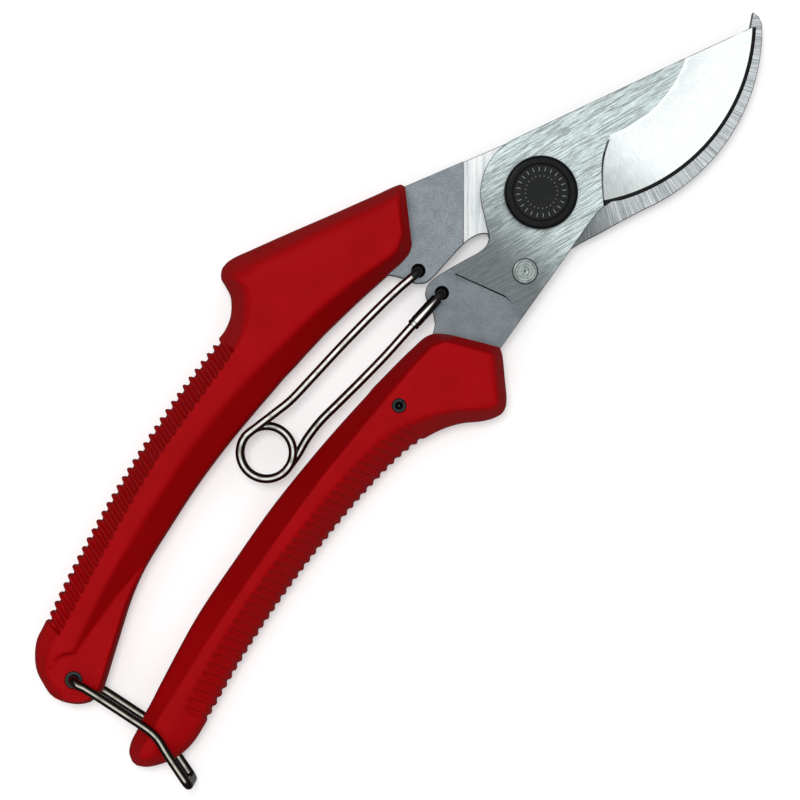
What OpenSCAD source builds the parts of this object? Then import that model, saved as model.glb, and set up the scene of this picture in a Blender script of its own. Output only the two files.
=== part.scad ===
// Bypass pruning shears lying on their back, closed and latched.
// Origin: where the pivot axis meets the bench. +Z runs up the pivot towards the bolt head,
// +X points to the blade tips and +Y to the upper handle. Sizes are in millimetres.

/* [Layout] */
// Height of the plane in which the two blades slide on each other
mid_z = 8; // [7.6:0.1:9]
// Half the thickness of the grips over the palm
grip_half = 8; // [7:0.1:8]
// Half the thickness of the grips at their rear ends
grip_end_half = 5.7; // [5:0.1:5.8]
// Half the height of the upright wall round each grip
grip_wall = 2.8; // [2.6:0.1:4]

/* [Blades] */
// Thickness of the cutting blade
blade_t = 2.8; // [2:0.1:3.2]
// Thickness of the counter blade and its hook
hook_t = 3; // [2.4:0.1:3.2]
// Height of the two tangs above the sliding plane
tang_up = 2.4; // [2:0.1:2.6]
// Depth of the cutting arm's tang below the sliding plane
tang_down = 2.4; // [2:0.1:2.6]
// Gap between the sliding faces
slide_gap = 0.04; // [0.02:0.01:0.1]
// Radius of the cutting edge, seen from above
edge_r = 38.5; // [38.3:0.05:38.7]
// Radius at which the hollow grind begins, about the same centre
grind_r = 25.05; // [24:0.05:26]
// Width of the polished bevel along the cutting edge
bevel_w = 0.8; // [0.5:0.1:1.2]
// Thickness left at the cutting edge
edge_t = 0.15; // [0.1:0.05:0.4]
// Radius of the round part of the cutting blade about the pivot
disc_r = 12.4; // [12:0.1:12.6]

/* [Pivot] */
// Radius of the bolt's head
head_r = 7.6; // [7:0.1:8]
// Height of the bolt's head
head_t = 2.3; // [1.8:0.1:3]
// Radius of the sunk disc in the head
head_recess_r = 5.8; // [5:0.1:6]
// Radius of the bolt's shank
shank_r = 4; // [3.5:0.1:4.5]
// Radius of the bolt's threaded end
thread_r = 3; // [2.5:0.1:3.4]
// Distance across the flats of the nut
nut_flats = 13; // [11:0.5:14]
// Radius of the stop pin's shank
stop_r = 2.2; // [1.8:0.1:2.3]
// Radius of the stop pin's head
stop_head_r = 2.7; // [2.5:0.1:3]

/* [Grips] */
// Distance from one finger rib to the next
rib_pitch = 2.05; // [1.9:0.05:2.2]
// Depth of the grooves between the ribs of the upper grip
upper_rib_depth = 0.85; // [0.3:0.05:1]
// Depth of the grooves between the ribs of the lower grip
lower_rib_depth = 0.4; // [0.2:0.05:0.8]
// Radius of the roll pins that hold the grips on their tangs
roll_pin_r = 1.5; // [1.2:0.1:1.6]
// Radius of the hole in the roll pins
roll_pin_hole_r = 0.9; // [0.6:0.1:1]

/* [Spring] */
// Radius of the return spring's wire
spring_wire_r = 0.9; // [0.8:0.05:0.95]
// Mean radius of the spring's coil
coil_r = 5.45; // [5:0.05:5.5]
// Height of the spring's legs where they enter the tangs
leg_z = 11.9; // [11.8:0.1:12.5]
// Distance between the two turns of the coil
coil_pitch = 1.95; // [1.9:0.05:2.2]
// Radius of the sleeve on the lower leg
sleeve_r = 1.25; // [1.1:0.05:1.3]

/* [Latch] */
// Radius of the latch bail's wire
bail_wire_r = 0.95; // [0.8:0.05:0.95]
// Distance from the sliding plane to the middle of each bail leg
bail_half = 7.05; // [6.9:0.05:7.05]
// Outer radius of the bushing that the bail turns in
bushing_r = 1.8; // [1.6:0.1:2]

/* [Hidden] */

$fn = 64;
eps = 0.02;
// Clearances of a running fit, of a seat that does not move, and between parts that swing past
run_gap = 0.05;
seat_gap = 0.01;
pass_gap = 0.1;

// Places in plan, measured from the pivot
edge_centre = [31.27, 18.28];
hook_centre = [29.5, 17.88];
hook_r = 40.64;
stop_pos = [-14.4, -7.9];
upper_hole = [-28.4, 9];
lower_hole = [-28.8, 2.35];
upper_hole_r = 1.45;
lower_hole_r = 1.35;
upper_pin_pos = [-55, 24];
lower_pin_pos = [-52.2, -5.8];
coil_pos = [-77.1, 8.9];
bail_pos = [-138.2, 9.15];
bail_seat_r = 5.3;
bail_seat_z = 5.4;
under_step_r = 20.5;
// How far the ends of the spring's legs and of the roll pins stand out of, or off, the faces
leg_out = 0.4;

// Heights of the pivot stack, from the nut up
stack_bottom = mid_z - hook_t;
spring_washer_t = 0.8;
nut_washer_t = 0.6;
nut_t = stack_bottom - spring_washer_t - nut_washer_t;
insert_t = 1;
insert_r = 4.4;
head_washer_t = 0.5;
blade_top = mid_z + slide_gap + blade_t;
head_z = blade_top + slide_gap + head_washer_t;

// ---- curves -----------------------------------------------------------------------------

function polar(r, a) = r * [cos(a), sin(a)];

function arc(centre, r, from, to, steps) =
    [for (i = [0:steps]) centre + polar(r, from + (to - from) * i / steps)];

function bezier_at(p, t) =
    pow(1 - t, 3) * p[0] + 3 * pow(1 - t, 2) * t * p[1] + 3 * (1 - t) * t * t * p[2] + pow(t, 3) * p[3];

function bezier(p, steps) = [for (i = [0:steps]) bezier_at(p, i / steps)];

// A smooth curve through every point of a list, with the given number of steps between points
function spline_at(a, b, c, d, t) =
    0.5 * (2 * b + (c - a) * t + (2 * a - 5 * b + 4 * c - d) * t * t
           + (3 * b - a - 3 * c + d) * t * t * t);

function spline(p, steps) =
    let (last = len(p) - 1)
    concat([for (i = [0:last - 1], k = [0:steps - 1])
                spline_at(p[max(i - 1, 0)], p[i], p[i + 1], p[min(i + 2, last)], k / steps)],
           [p[last]]);

function unit(v) = v / norm(v);

// Direction of a path at each of its points
function tangent(p, i) = unit(p[min(i + 1, len(p) - 1)] - p[max(i - 1, 0)]);

// The part of u that is square to a direction
function square_to(u, t) = unit(u - (u * t) * t);

// Sideways directions along a path that turn with it and don't twist
function sideways(p, first) =
    [for (i = 0, u = square_to(first, tangent(p, 0)); i < len(p);
          i = i + 1, u = i < len(p) ? square_to(u, tangent(p, i)) : u) u];

function ring(centre, t, u, r, sides) =
    let (v = cross(t, u))
    [for (k = [0:sides - 1]) centre + r * cos(360 * k / sides) * u + r * sin(360 * k / sides) * v];

// A closed solid through a list of rings that all have the same number of points
module skin(rings) {
    n = len(rings[0]);
    last = len(rings) - 1;
    polyhedron(
        points = [for (one = rings) each one],
        faces = concat(
            [[for (k = [0:n - 1]) n - 1 - k]],
            [for (i = [0:last - 1], k = [0:n - 1])
                [i * n + k, i * n + (k + 1) % n, (i + 1) * n + (k + 1) % n, (i + 1) * n + k]],
            [[for (k = [0:n - 1]) last * n + k]]),
        convexity = 6);
}

// A round wire along a path; first is any direction across the path's start
module wire(path, r, first, sides = 12) {
    side = sideways(path, first);
    skin([for (i = [0:len(path) - 1]) ring(path[i], tangent(path, i), side[i], r, sides)]);
}

// A flat plate between two heights
module plate(outline, low, high) {
    translate([0, 0, low])
        linear_extrude(high - low)
            polygon(outline);
}

module bore(pos, r) {
    translate([pos[0], pos[1], -1])
        cylinder(r = r, h = 2 * mid_z + 2);
}

// ---- blades -----------------------------------------------------------------------------

// Where the straight spine leaves the round part of the cutting blade
blade_tip = [54.2, -11.3];
spine_angle = atan2(blade_tip[1], blade_tip[0]) + acos(disc_r / norm(blade_tip));

// Boundary of the cutting arm beside the pivot, from the round part down to the tang's lobe
slot_lower_edge = [[-12.3, 4.3], [-13.3, 2.8], [-14.2, 2], [-15.8, 1.6], [-17.5, 1.9], [-20.8, 3.2],
                   [-24.2, 4.45], [-26.7, 5.3], [-28.3, 5.62], [-29.8, 5.55], [-31, 4.95],
                   [-31.8, 3.9], [-33.1, 1.1], [-34.6, -0.7]];

cutting_tang_core = [[-37.5, -2.2], [-72, -2.4], [-72, -8.2], [-55, -9.2], [-42, -12.6],
                     [-29.7, -14.2]];

cutting_low_edge = [[-20.4, -13.45], [-10, -12.6], [-5, -12.2], [0, -11.75], [4.2, -11.5],
                    [6.1, -11.75], [8.3, -12.35]];

cutting_outline = concat(
    [blade_tip, polar(disc_r, spine_angle)],
    arc([0, 0], disc_r, spine_angle + 4, 150, 20),
    spline(slot_lower_edge, 3),
    cutting_tang_core,
    spline(cutting_low_edge, 3),
    arc(edge_centre, edge_r, 236, 308.2, 40));

// Line on which the blade's flat drops to the tang
tang_line = [[-23.9, 8], [-23.9, 2.8], [-20.8, -8.2], [-20.4, -20]];
tang_side = concat(tang_line, [[-90, -20], [-90, 8]]);

// Start of the hollow grind at the heel of the cutting edge
heel_curve = [[6.1, -11.75], [9.5, -8.4], [12.6, -4.8], [17.3, -3.4]];

// Ring that is ground away above the cutting edge: a shallow hollow, then the edge bevel
module grind() {
    edge_start = edge_r - bevel_w;
    bevel_rise = 0.3;
    hollow_depth = blade_t - edge_t - bevel_rise;
    hollow_power = 1.6;
    intersection() {
        translate([edge_centre[0], edge_centre[1], mid_z + slide_gap])
            rotate_extrude($fn = 96)
                polygon(concat(
                    [for (i = [0:6]) let (t = i / 6)
                        [grind_r + (edge_start - grind_r) * t,
                         blade_t - hollow_depth * (1 - pow(1 - t, hollow_power))]],
                    [[edge_r + eps, edge_t], [edge_r + 3, edge_t], [edge_r + 3, blade_t + 1],
                     [grind_r, blade_t + 1]]));
        plate(concat(bezier(heel_curve, 8), [[17.3, 30], [80, 30], [80, -40], [6.1, -40]]),
              mid_z, blade_top + 2);
    }
}

module cutting_blade() {
    color("silver")
        difference() {
            union() {
                difference() {
                    plate(cutting_outline, mid_z + slide_gap, blade_top);
                    plate(tang_side, mid_z + tang_up + slide_gap, blade_top + 1);
                }
                intersection() {
                    plate(cutting_outline, mid_z - tang_down, mid_z + slide_gap + eps);
                    difference() {
                        plate([[-90, -30], [0, -30], [0, 20], [-90, 20]], 0, 2 * mid_z);
                        bore([0, 0], under_step_r);
                    }
                }
            }
            grind();
            bore([0, 0], shank_r + run_gap);
            bore(stop_pos, stop_r + seat_gap);
            bore(lower_hole, lower_hole_r);
            bore(lower_pin_pos, roll_pin_r + seat_gap);
        }
}

// Counter blade: outside of the hook, its nose, its hidden inner edge and the round part
hook_root = [[-4.83, -12.15], [-2.2, -13.05], [2, -14.8], [6.7, -16.6]];
hook_nose = [[56.4, -12.5], [57.1, -11], [57, -9.6]];
hook_inside = [[54.2, -11.2], [34, -20.5], [17, -13], [11.2, -5.2]];
back_edge = [2, 12.8];
counter_tang_core = [[-16.7, 22.2], [-19, 22.7], [-36, 28.5], [-56, 28], [-78, 26.5],
                     [-78, 22], [-56, 19.5], [-38, 16.5], [-33.4, 13.6]];

// Boundary of the counter arm from its grip round the tang's lobe to the slot's end
slot_upper_edge = [[-32.7, 12.7], [-31.8, 10.9], [-31, 8.35], [-30.2, 7.15], [-29, 6.2],
                   [-27.5, 5.9], [-24, 5.75], [-20.8, 5.65], [-18.5, 5.5], [-16.7, 5.2],
                   [-15, 4.6], [-13.75, 3.7], [-13.3, 3]];

// The heel that the stop pin comes to rest against when the shears close
stop_heel = concat([[-14.6, 0.6], [-17.2, -1.6], [-18.2, -4.2]],
                   arc(stop_pos, stop_r + pass_gap, 150, 40, 8));

counter_outline = concat(
    hook_root,
    arc(hook_centre, hook_r, 243.7, 309, 36),
    hook_nose,
    bezier(hook_inside, 20),
    arc([0, 0], disc_r - 0.1, -22, 62, 16),
    [back_edge],
    counter_tang_core,
    spline(slot_upper_edge, 3),
    stop_heel,
    arc([0, 0], disc_r + 0.8, 214, 246, 8));

// Step between the thick tang and the thin counter blade
recess_line = [[-5.4, 16.5], [-18.5, 5.55]];
recess_slope = unit(recess_line[1] - recess_line[0]);
recess_side = [recess_line[0] - 20 * recess_slope, recess_line[1] + 6 * recess_slope,
               [-60, 0], [-90, 10], [-90, 60], [0, 60]];

module counter_blade() {
    color("silver")
        difference() {
            union() {
                plate(counter_outline, stack_bottom, mid_z);
                intersection() {
                    plate(counter_outline, mid_z - eps, mid_z + tang_up);
                    plate(recess_side, 0, 2 * mid_z);
                }
            }
            bore([0, 0], shank_r + seat_gap);
            bore(upper_hole, upper_hole_r);
            bore(upper_pin_pos, roll_pin_r + seat_gap);
        }
}

// ---- grips ------------------------------------------------------------------------------

// Cross-section of a grip: inner edge a, flat face from c to d, outer edge b, half height h
function grip_ring(s) =
    let (a = s[0], c = s[1], d = s[2], b = s[3], h = s[4])
    [[a[0], a[1], mid_z - grip_wall], [a[0], a[1], mid_z + grip_wall],
     [c[0], c[1], mid_z + h], [d[0], d[1], mid_z + h],
     [b[0], b[1], mid_z + grip_wall], [b[0], b[1], mid_z - grip_wall],
     [d[0], d[1], mid_z - h], [c[0], c[1], mid_z - h]];

// Height at x of a smooth curve through points listed in order of falling x
function slope_at(p, i) =
    let (a = p[max(i - 1, 0)], b = p[min(i + 1, len(p) - 1)])
    (b[1] - a[1]) / (b[0] - a[0]);

function curve_at(p, x, i = 0) =
    i < len(p) - 2 && x < p[i + 1][0] ? curve_at(p, x, i + 1) :
    let (w = p[i + 1][0] - p[i][0], t = (x - p[i][0]) / w)
    (1 + 2 * t) * pow(1 - t, 2) * p[i][1] + t * pow(1 - t, 2) * w * slope_at(p, i)
    + t * t * (3 - 2 * t) * p[i + 1][1] + t * t * (t - 1) * w * slope_at(p, i + 1);

// Sections of the ribbed length: a crest and a groove for each pitch
function ribbed(inner, low, high, outer, first, count, depth) =
    [for (i = [0:count - 1])
        let (x = first - rib_pitch / 2 * i, groove = depth * (i % 2))
        [[x, curve_at(inner, x)], [x, curve_at(low, x)], [x, curve_at(high, x)],
         [x, curve_at(outer, x) - groove], palm_half(i / (count - 1))]];

// Half height of the palm at a share t of the ribbed length; it tapers towards the rear
taper_start = 0.45;
taper_power = 1.4;

function palm_half(t) =
    let (share = max(0, (t - taper_start) / (1 - taper_start)))
    grip_half - (grip_half - grip_end_half) * pow(share, taper_power);

// Upper grip
upper_front = [
    [[-25.2, 13.4], [-23.6, 15.2], [-18.3, 20.8], [-16.8, 22.35], 5.2],
    [[-26.7, 12.7], [-25.5, 16], [-20, 22], [-17.2, 23.4], grip_half],
    [[-29, 12.6], [-28, 15], [-24.5, 24.8], [-22, 25.8], grip_half],
    [[-33, 13.2], [-33, 16], [-32, 28.6], [-31, 30.2], grip_half],
    [[-40, 14.2], [-40, 18], [-40, 32], [-40, 34.7], grip_half],
    [[-46, 14.9], [-46, 19.3], [-47, 34.6], [-47.6, 38.4], grip_half],
    [[-49, 15.2], [-49, 19.8], [-50.5, 35.8], [-51.3, 40.1], grip_half],
    [[-51, 15.4], [-51, 20], [-52.5, 36], [-53.8, 40.4], grip_half],
    [[-53, 15.5], [-53, 20.3], [-53.4, 35.4], [-55.7, 39.2], grip_half],
    [[-55, 15.6], [-55, 20.5], [-53.9, 34], [-56.5, 37.2], grip_half],
    [[-57, 15.7], [-57, 20.7], [-55.2, 32.2], [-57.5, 35.1], grip_half],
    [[-60, 15.8], [-60, 21], [-58.5, 29.6], [-60.2, 32.8], grip_half],
    [[-63, 16], [-63, 21.3], [-62.5, 27.7], [-63.2, 31.7], grip_half]];

upper_rear = [
    [[-134.5, 4.1], [-134.5, 12.9], [-134.5, 17], [-134.5, 21.05], grip_end_half],
    [[-137, 3.3], [-137, 10.5], [-137, 16.4], [-137, 20.4], grip_end_half],
    [[-139.6, 3.6], [-139, 8.2], [-139, 15.4], [-139.8, 18.6], grip_end_half],
    [[-141.6, 5.1], [-140.6, 8.3], [-140.6, 13.8], [-142, 16.2], grip_end_half],
    [[-143.2, 7.6], [-141.8, 9], [-141.8, 12], [-143.3, 13.2], 5.2],
    [[-143.8, 9.6], [-142.8, 10], [-142.8, 11], [-143.8, 11.6], 3.8]];

upper_first_rib = -65.1;
upper_steps = 67;
upper_inner = [[-60, 15.9], [-72, 16.1], [-82, 16], [-92, 15.4], [-102, 14.2], [-112, 12.7],
               [-119, 10.6], [-126, 7.7], [-134.5, 4.1]];
upper_facet_low = [[-63, 21.3], [-72, 21.8], [-82, 21.7], [-92, 20.9], [-105, 19.2], [-118, 16.9],
                   [-134.5, 13]];
upper_facet_high = [[-63, 27.5], [-70, 26.7], [-80, 26], [-92, 25], [-105, 22.9], [-118, 20.3],
                    [-134.5, 17]];
upper_outer = [[-64, 31.6], [-75, 31.2], [-87, 30.2], [-100, 28.5], [-112, 26.4], [-123, 24],
               [-133, 21.4]];

// Lower grip
lower_front = [
    [[-34.6, -3.9], [-33.8, -5.6], [-30.5, -12.4], [-29.7, -14.1], 5.2],
    [[-36.2, -1.8], [-36.4, -4.4], [-32, -14.2], [-30.6, -15.5], grip_half],
    [[-38.1, -0.8], [-38.5, -3.3], [-35.5, -17.7], [-34.2, -19.2], grip_half],
    [[-41, -0.35], [-41, -3], [-38.2, -20.4], [-37.4, -22.3], grip_half],
    [[-44, 0], [-44, -2.9], [-39.4, -21], [-39.5, -23.1], grip_half],
    [[-47, 0.25], [-47, -2.9], [-41, -20.2], [-41.7, -22.4], grip_half],
    [[-49, 0.4], [-49, -2.9], [-43.3, -17.9], [-43.9, -20.8], grip_half],
    [[-51, 0.55], [-51, -2.95], [-46.2, -14.9], [-46.7, -18.1], grip_half],
    [[-53, 0.7], [-53, -2.95], [-49.8, -12], [-50, -15.9], grip_half]];

lower_rear = [
    [[-132, -6], [-132, -9.3], [-132, -12.6], [-132, -17.9], grip_end_half],
    [[-135, -6.6], [-135, -9.9], [-135, -13], [-135, -17.8], grip_end_half],
    [[-138, -7.4], [-138, -10.4], [-138, -13.2], [-138, -17], grip_end_half],
    [[-140.6, -8], [-140.2, -10.8], [-140.2, -13], [-140.8, -15.4], grip_end_half],
    [[-142.6, -9.1], [-141.6, -11], [-141.6, -12.6], [-142.7, -13.8], 5],
    [[-143.6, -10.7], [-142.7, -11.2], [-142.7, -12], [-143.6, -12.3], 3.8]];

lower_first_rib = -53.8;
lower_steps = 73;
lower_inner = [[-53, 0.6], [-62, 0.95], [-72, 1.1], [-85, 0.8], [-98, -0.3], [-112, -1.8],
               [-125, -4.4], [-132, -6]];
lower_facet_high = [[-53, -2.95], [-72, -3.2], [-85, -4], [-98, -5.1], [-112, -6.6], [-132, -9.4]];
lower_facet_low = [[-53, -10.2], [-58, -8.1], [-68, -6.9], [-85, -6.8], [-98, -7.4], [-112, -8.9],
                   [-132, -12.6]];
lower_outer = [[-53.8, -14.2], [-60, -12.8], [-72, -12], [-85, -12.15], [-98, -12.9],
               [-112, -14.5], [-129, -17.5]];

upper_sections = concat(
    upper_front,
    ribbed(upper_inner, upper_facet_low, upper_facet_high, upper_outer, upper_first_rib,
           upper_steps, upper_rib_depth),
    upper_rear);

lower_sections = concat(
    lower_front,
    ribbed(lower_inner, lower_facet_high, lower_facet_low, lower_outer, lower_first_rib,
           lower_steps, -lower_rib_depth),
    lower_rear);

module upper_grip() {
    color("crimson")
        difference() {
            skin([for (s = upper_sections) grip_ring(s)]);
            plate(counter_outline, stack_bottom - seat_gap, mid_z + tang_up + seat_gap);
            translate([upper_pin_pos[0], upper_pin_pos[1], -1])
                cylinder(r = roll_pin_r + seat_gap, h = mid_z + tang_up + 2);
            bore(bail_pos, bushing_r + run_gap);
            for (side = [-1, 1])
                translate([bail_pos[0], bail_pos[1], mid_z + side * (bail_seat_z + 5)])
                    cylinder(r = bail_seat_r, h = 10, center = true);
        }
}

module lower_grip() {
    color("crimson")
        difference() {
            skin([for (s = lower_sections) grip_ring(s)]);
            plate(cutting_outline, mid_z - tang_down - seat_gap, mid_z + tang_up + slide_gap + seat_gap);
            bore(lower_pin_pos, roll_pin_r + seat_gap);
        }
}

// A slotted spring pin between two heights
module roll_pin(pos, low, high) {
    slot_w = 0.5;
    translate([pos[0], pos[1], low])
        difference() {
            cylinder(r = roll_pin_r, h = high - low);
            translate([0, 0, -1])
                cylinder(r = roll_pin_hole_r, h = high - low + 2);
            translate([0, -slot_w / 2, -1])
                cube([roll_pin_r + 1, slot_w, high - low + 2]);
        }
}

module upper_grip_pin() {
    color("dimgray")
        roll_pin(upper_pin_pos, leg_out, mid_z + tang_up);
}

module lower_grip_pin() {
    color("dimgray")
        roll_pin(lower_pin_pos, leg_out, 2 * mid_z - leg_out);
}

// ---- pivot ------------------------------------------------------------------------------

module pivot_bolt() {
    rim = 0.6;
    recess = 0.3;
    marks = 24;
    mark_r = 4.3;
    mark = [0.9, 0.3];
    mark_depth = 0.15;
    color("black")
        difference() {
            union() {
                translate([0, 0, head_z])
                    rotate_extrude()
                        polygon([[0, 0], [head_r, 0], [head_r, head_t - rim], [head_r - rim, head_t],
                                 [head_recess_r + recess, head_t],
                                 [head_recess_r, head_t - recess], [0, head_t - recess]]);
                translate([0, 0, stack_bottom - spring_washer_t])
                    cylinder(r = shank_r, h = head_z - stack_bottom + spring_washer_t);
                cylinder(r = thread_r, h = stack_bottom);
            }
            for (i = [0:marks - 1])
                rotate([0, 0, 360 * i / marks])
                    translate([mark_r, -mark[1] / 2, head_z + head_t - recess - mark_depth])
                        cube([mark[0], mark[1], 1]);
        }
}

// A flat ring about the pivot axis
module washer(inner, outer, low, high) {
    translate([0, 0, low])
        difference() {
            cylinder(r = outer, h = high - low);
            translate([0, 0, -1])
                cylinder(r = inner, h = high - low + 2);
        }
}

module head_washer() {
    outer = head_r - 0.4;
    color("dimgray")
        washer(shank_r + run_gap, outer, head_z - head_washer_t, head_z);
}

// Dished washer that keeps the blades pressed together
module spring_washer() {
    low = stack_bottom - spring_washer_t;
    dish = 0.35;
    outer = 7;
    color("gray")
        rotate_extrude()
            polygon([[shank_r + run_gap, low], [outer, low + dish], [outer, stack_bottom],
                     [shank_r + run_gap, stack_bottom - dish]]);
}

module nut_washer() {
    outer = 6.8;
    color("silver")
        washer(thread_r + run_gap, outer, nut_t, nut_t + nut_washer_t);
}

module pivot_nut() {
    color("silver")
        difference() {
            cylinder(r = nut_flats / 2 / cos(30), h = nut_t, $fn = 6);
            translate([0, 0, -1])
                cylinder(r = thread_r + seat_gap, h = nut_t + 2);
            translate([0, 0, -1])
                cylinder(r = insert_r + seat_gap, h = insert_t + 1);
        }
}

module nut_insert() {
    color("white")
        washer(thread_r + seat_gap, insert_r, 0, insert_t);
}

// Rivet through the cutting arm; its shank stands beside the counter blade's heel
module stop_pin() {
    head_h = 0.7;
    chamfer = 0.3;
    low = stack_bottom + 0.2;
    dimple_r = 0.45;
    dimple_depth = 0.25;
    color("silver")
        translate([stop_pos[0], stop_pos[1], 0])
            difference() {
                union() {
                    translate([0, 0, low])
                        cylinder(r = stop_r, h = blade_top - low);
                    translate([0, 0, blade_top])
                        rotate_extrude()
                            polygon([[0, 0], [stop_head_r, 0], [stop_head_r, head_h - chamfer],
                                     [stop_head_r - chamfer, head_h], [0, head_h]]);
                }
                translate([0, 0, blade_top + head_h - dimple_depth])
                    cylinder(r1 = 0.1, r2 = dimple_r, h = dimple_depth + eps);
            }
}

// ---- return spring ----------------------------------------------------------------------

// Each half is one turn-and-a-bit of the coil with its leg; the turns lie one above the other
coil_top_z = 11.3;
coil_low_z = coil_top_z - coil_pitch;
// Radius of the square bend above each hole
leg_bend = 1.3;

upper_leg = [[-73.3, 13.55, coil_top_z], [-69.5, 12.7, 11.35], [-65.7, 11.95, 11.4],
             [-60, 11.6, 11.5], [-50, 11.1, 11.7], [-40, 10.35, leg_z], [-34, 9.7, leg_z]];

// The lower leg up to the sleeve, from where it runs straight to its hole
leg_join = [-40, 2.75, leg_z];
lower_leg = [[-73.4, 3.75, coil_low_z], [-69.5, 4.4, 9.6], [-65, 4.55, 10], [-60, 4.1, 10.6],
             [-53, 3.45, 11.4], [-46, 2.95, 11.8], leg_join];
leg_way = unit([lower_hole[0] - leg_bend, lower_hole[1], leg_z] - leg_join);
sleeve_start = leg_join + 2.1 * leg_way;
sleeve_length = 7.6;

function coil_turn(from, to, z, steps) =
    [for (p = arc(coil_pos, coil_r, from, to, steps)) [p[0], p[1], z]];

// The end of a leg: a square bend above its hole, then straight down to a height
function leg_end(hole, low) = concat(
    [for (a = [0:30:90])
        [hole[0] - leg_bend * (1 - sin(a)), hole[1], leg_z - leg_bend * (1 - cos(a))]],
    [[hole[0], hole[1], low]]);

module spring_upper() {
    color("silver")
        wire(concat(coil_turn(360, 92, coil_top_z, 24), upper_leg,
                    leg_end(upper_hole, stack_bottom - leg_out)),
             spring_wire_r, [1, 0, 0]);
}

module spring_lower() {
    color("silver")
        wire(concat(coil_turn(0, 268, coil_low_z, 24), lower_leg, [leg_join + leg_way],
                    leg_end(lower_hole, mid_z - tang_down - leg_out)),
             spring_wire_r, [1, 0, 0]);
}

module spring_sleeve() {
    lean = atan2(leg_way[1], leg_way[0]);
    color("silver")
        translate(sleeve_start)
            rotate([0, 0, lean])
                rotate([0, 90, 0])
                    difference() {
                        cylinder(r = sleeve_r, h = sleeve_length);
                        translate([0, 0, -1])
                            cylinder(r = spring_wire_r + seat_gap, h = sleeve_length + 2);
                    }
}

// ---- latch ------------------------------------------------------------------------------

// Middle line of one leg of the bail, from the crossbar to the bend above the bushing
bail_leg = [[-139, -21.4], [-138.2, -18.6], [-137, -14.6], [-136.1, -11.9], [-135.9, -9.4],
            [-136.4, -4.6], [-137.3, 2.9], [-137.8, 6.5]];
bail_bend = 1.4;
bail_stub = 2.5;
leg_end_way = unit(bail_leg[0] - bail_leg[1]);

// The bail's path from the sliding plane to the end of its stub in the bushing, on one side
function bail_half_path(side) = concat(
    [for (a = [0:30:60])
        let (bend = bail_leg[0] + bail_bend * (1 - sin(a)) * leg_end_way)
        [bend[0], bend[1], mid_z + side * (bail_half - bail_bend * (1 - cos(a)))]],
    [for (p = bail_leg) [p[0], p[1], mid_z + side * bail_half]],
    [for (a = [60:-30:0])
        [bail_pos[0], bail_pos[1] - bail_bend * (1 - cos(a)),
         mid_z + side * (bail_half - bail_bend * (1 - sin(a)))]],
    [[bail_pos[0], bail_pos[1], mid_z + side * bail_stub]]);

function reversed(p) = [for (i = [len(p) - 1:-1:0]) p[i]];

module latch_bushing() {
    half = bail_seat_z + 0.2;
    color("dimgray")
        translate([bail_pos[0], bail_pos[1], mid_z - half])
            difference() {
                cylinder(r = bushing_r, h = 2 * half);
                translate([0, 0, -1])
                    cylinder(r = bail_wire_r + run_gap, h = 2 * half + 2);
            }
}

module latch_bail() {
    color("silver")
        wire(concat(reversed(bail_half_path(1)), bail_half_path(-1)), bail_wire_r, [1, 0, 0]);
}

cutting_blade();
counter_blade();
upper_grip();
lower_grip();
pivot_bolt();
head_washer();
spring_washer();
nut_washer();
pivot_nut();
nut_insert();
stop_pin();
upper_grip_pin();
lower_grip_pin();
spring_upper();
spring_lower();
spring_sleeve();
latch_bushing();
latch_bail();
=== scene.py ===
"""Looks for a pair of bypass pruning shears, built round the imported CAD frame.

The axes are the CAD part's: origin under the pivot, +X to the blade tips, +Y to the upper handle,
+Z up. Shapes are drawn in millimetres and become metres when their mesh is made.
"""

import math

import bmesh
import bpy
import numpy as np
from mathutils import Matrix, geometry

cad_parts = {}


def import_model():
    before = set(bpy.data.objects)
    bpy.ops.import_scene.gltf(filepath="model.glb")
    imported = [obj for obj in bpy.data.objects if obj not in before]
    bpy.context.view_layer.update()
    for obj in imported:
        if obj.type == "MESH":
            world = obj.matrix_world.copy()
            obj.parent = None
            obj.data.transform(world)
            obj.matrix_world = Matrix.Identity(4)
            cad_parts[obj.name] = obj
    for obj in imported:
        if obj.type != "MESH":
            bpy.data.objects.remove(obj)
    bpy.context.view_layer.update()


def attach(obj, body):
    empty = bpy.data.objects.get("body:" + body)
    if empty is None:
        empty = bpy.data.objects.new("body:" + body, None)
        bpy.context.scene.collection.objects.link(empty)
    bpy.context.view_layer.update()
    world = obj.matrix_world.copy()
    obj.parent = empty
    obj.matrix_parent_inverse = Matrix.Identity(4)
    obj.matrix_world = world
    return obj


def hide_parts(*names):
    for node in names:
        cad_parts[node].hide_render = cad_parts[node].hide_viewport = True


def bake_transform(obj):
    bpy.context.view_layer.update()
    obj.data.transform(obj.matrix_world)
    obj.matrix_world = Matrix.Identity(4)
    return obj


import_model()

MM = 0.001

# Heights and sizes that the CAD part drives, in millimetres
MID_Z = 8.0
BLADE_TOP = 10.84
HEAD_Z = 11.38
STACK_BOTTOM = 5.0
WASHER_TOP = 4.2
NUT_TOP = 3.6
TANG_UP = 2.4
TANG_DOWN = 2.4
SLIDE_GAP = 0.04
EDGE_T = 0.15
GRIP_HALF = 8.0
GRIP_END_HALF = 5.7
GRIP_WALL = 2.8
RIB_PITCH = 2.05
BOLT_R = 4.0
BOLT_HOLE_R = 4.05
NUT_HOLE_R = 3.01
STOP_R = 2.2
PIN_HOLE_R = 1.5
GRIP_PIN_HOLE_R = 1.52
PIN_SUNK = 0.4
EYELET_HOLE_R = 1.86
DISC_R = 12.4
EDGE_R = 38.5
GRIND_R = 25.05
BEVEL_W = 0.8
HOOK_R = 40.64
PIVOT = np.zeros(2)
EDGE_CENTRE = np.array([31.27, 18.28])
HOOK_CENTRE = np.array([29.5, 17.88])
STOP_POS = np.array([-14.4, -7.9])
UPPER_HOLE = np.array([-28.4, 9.0])
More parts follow.
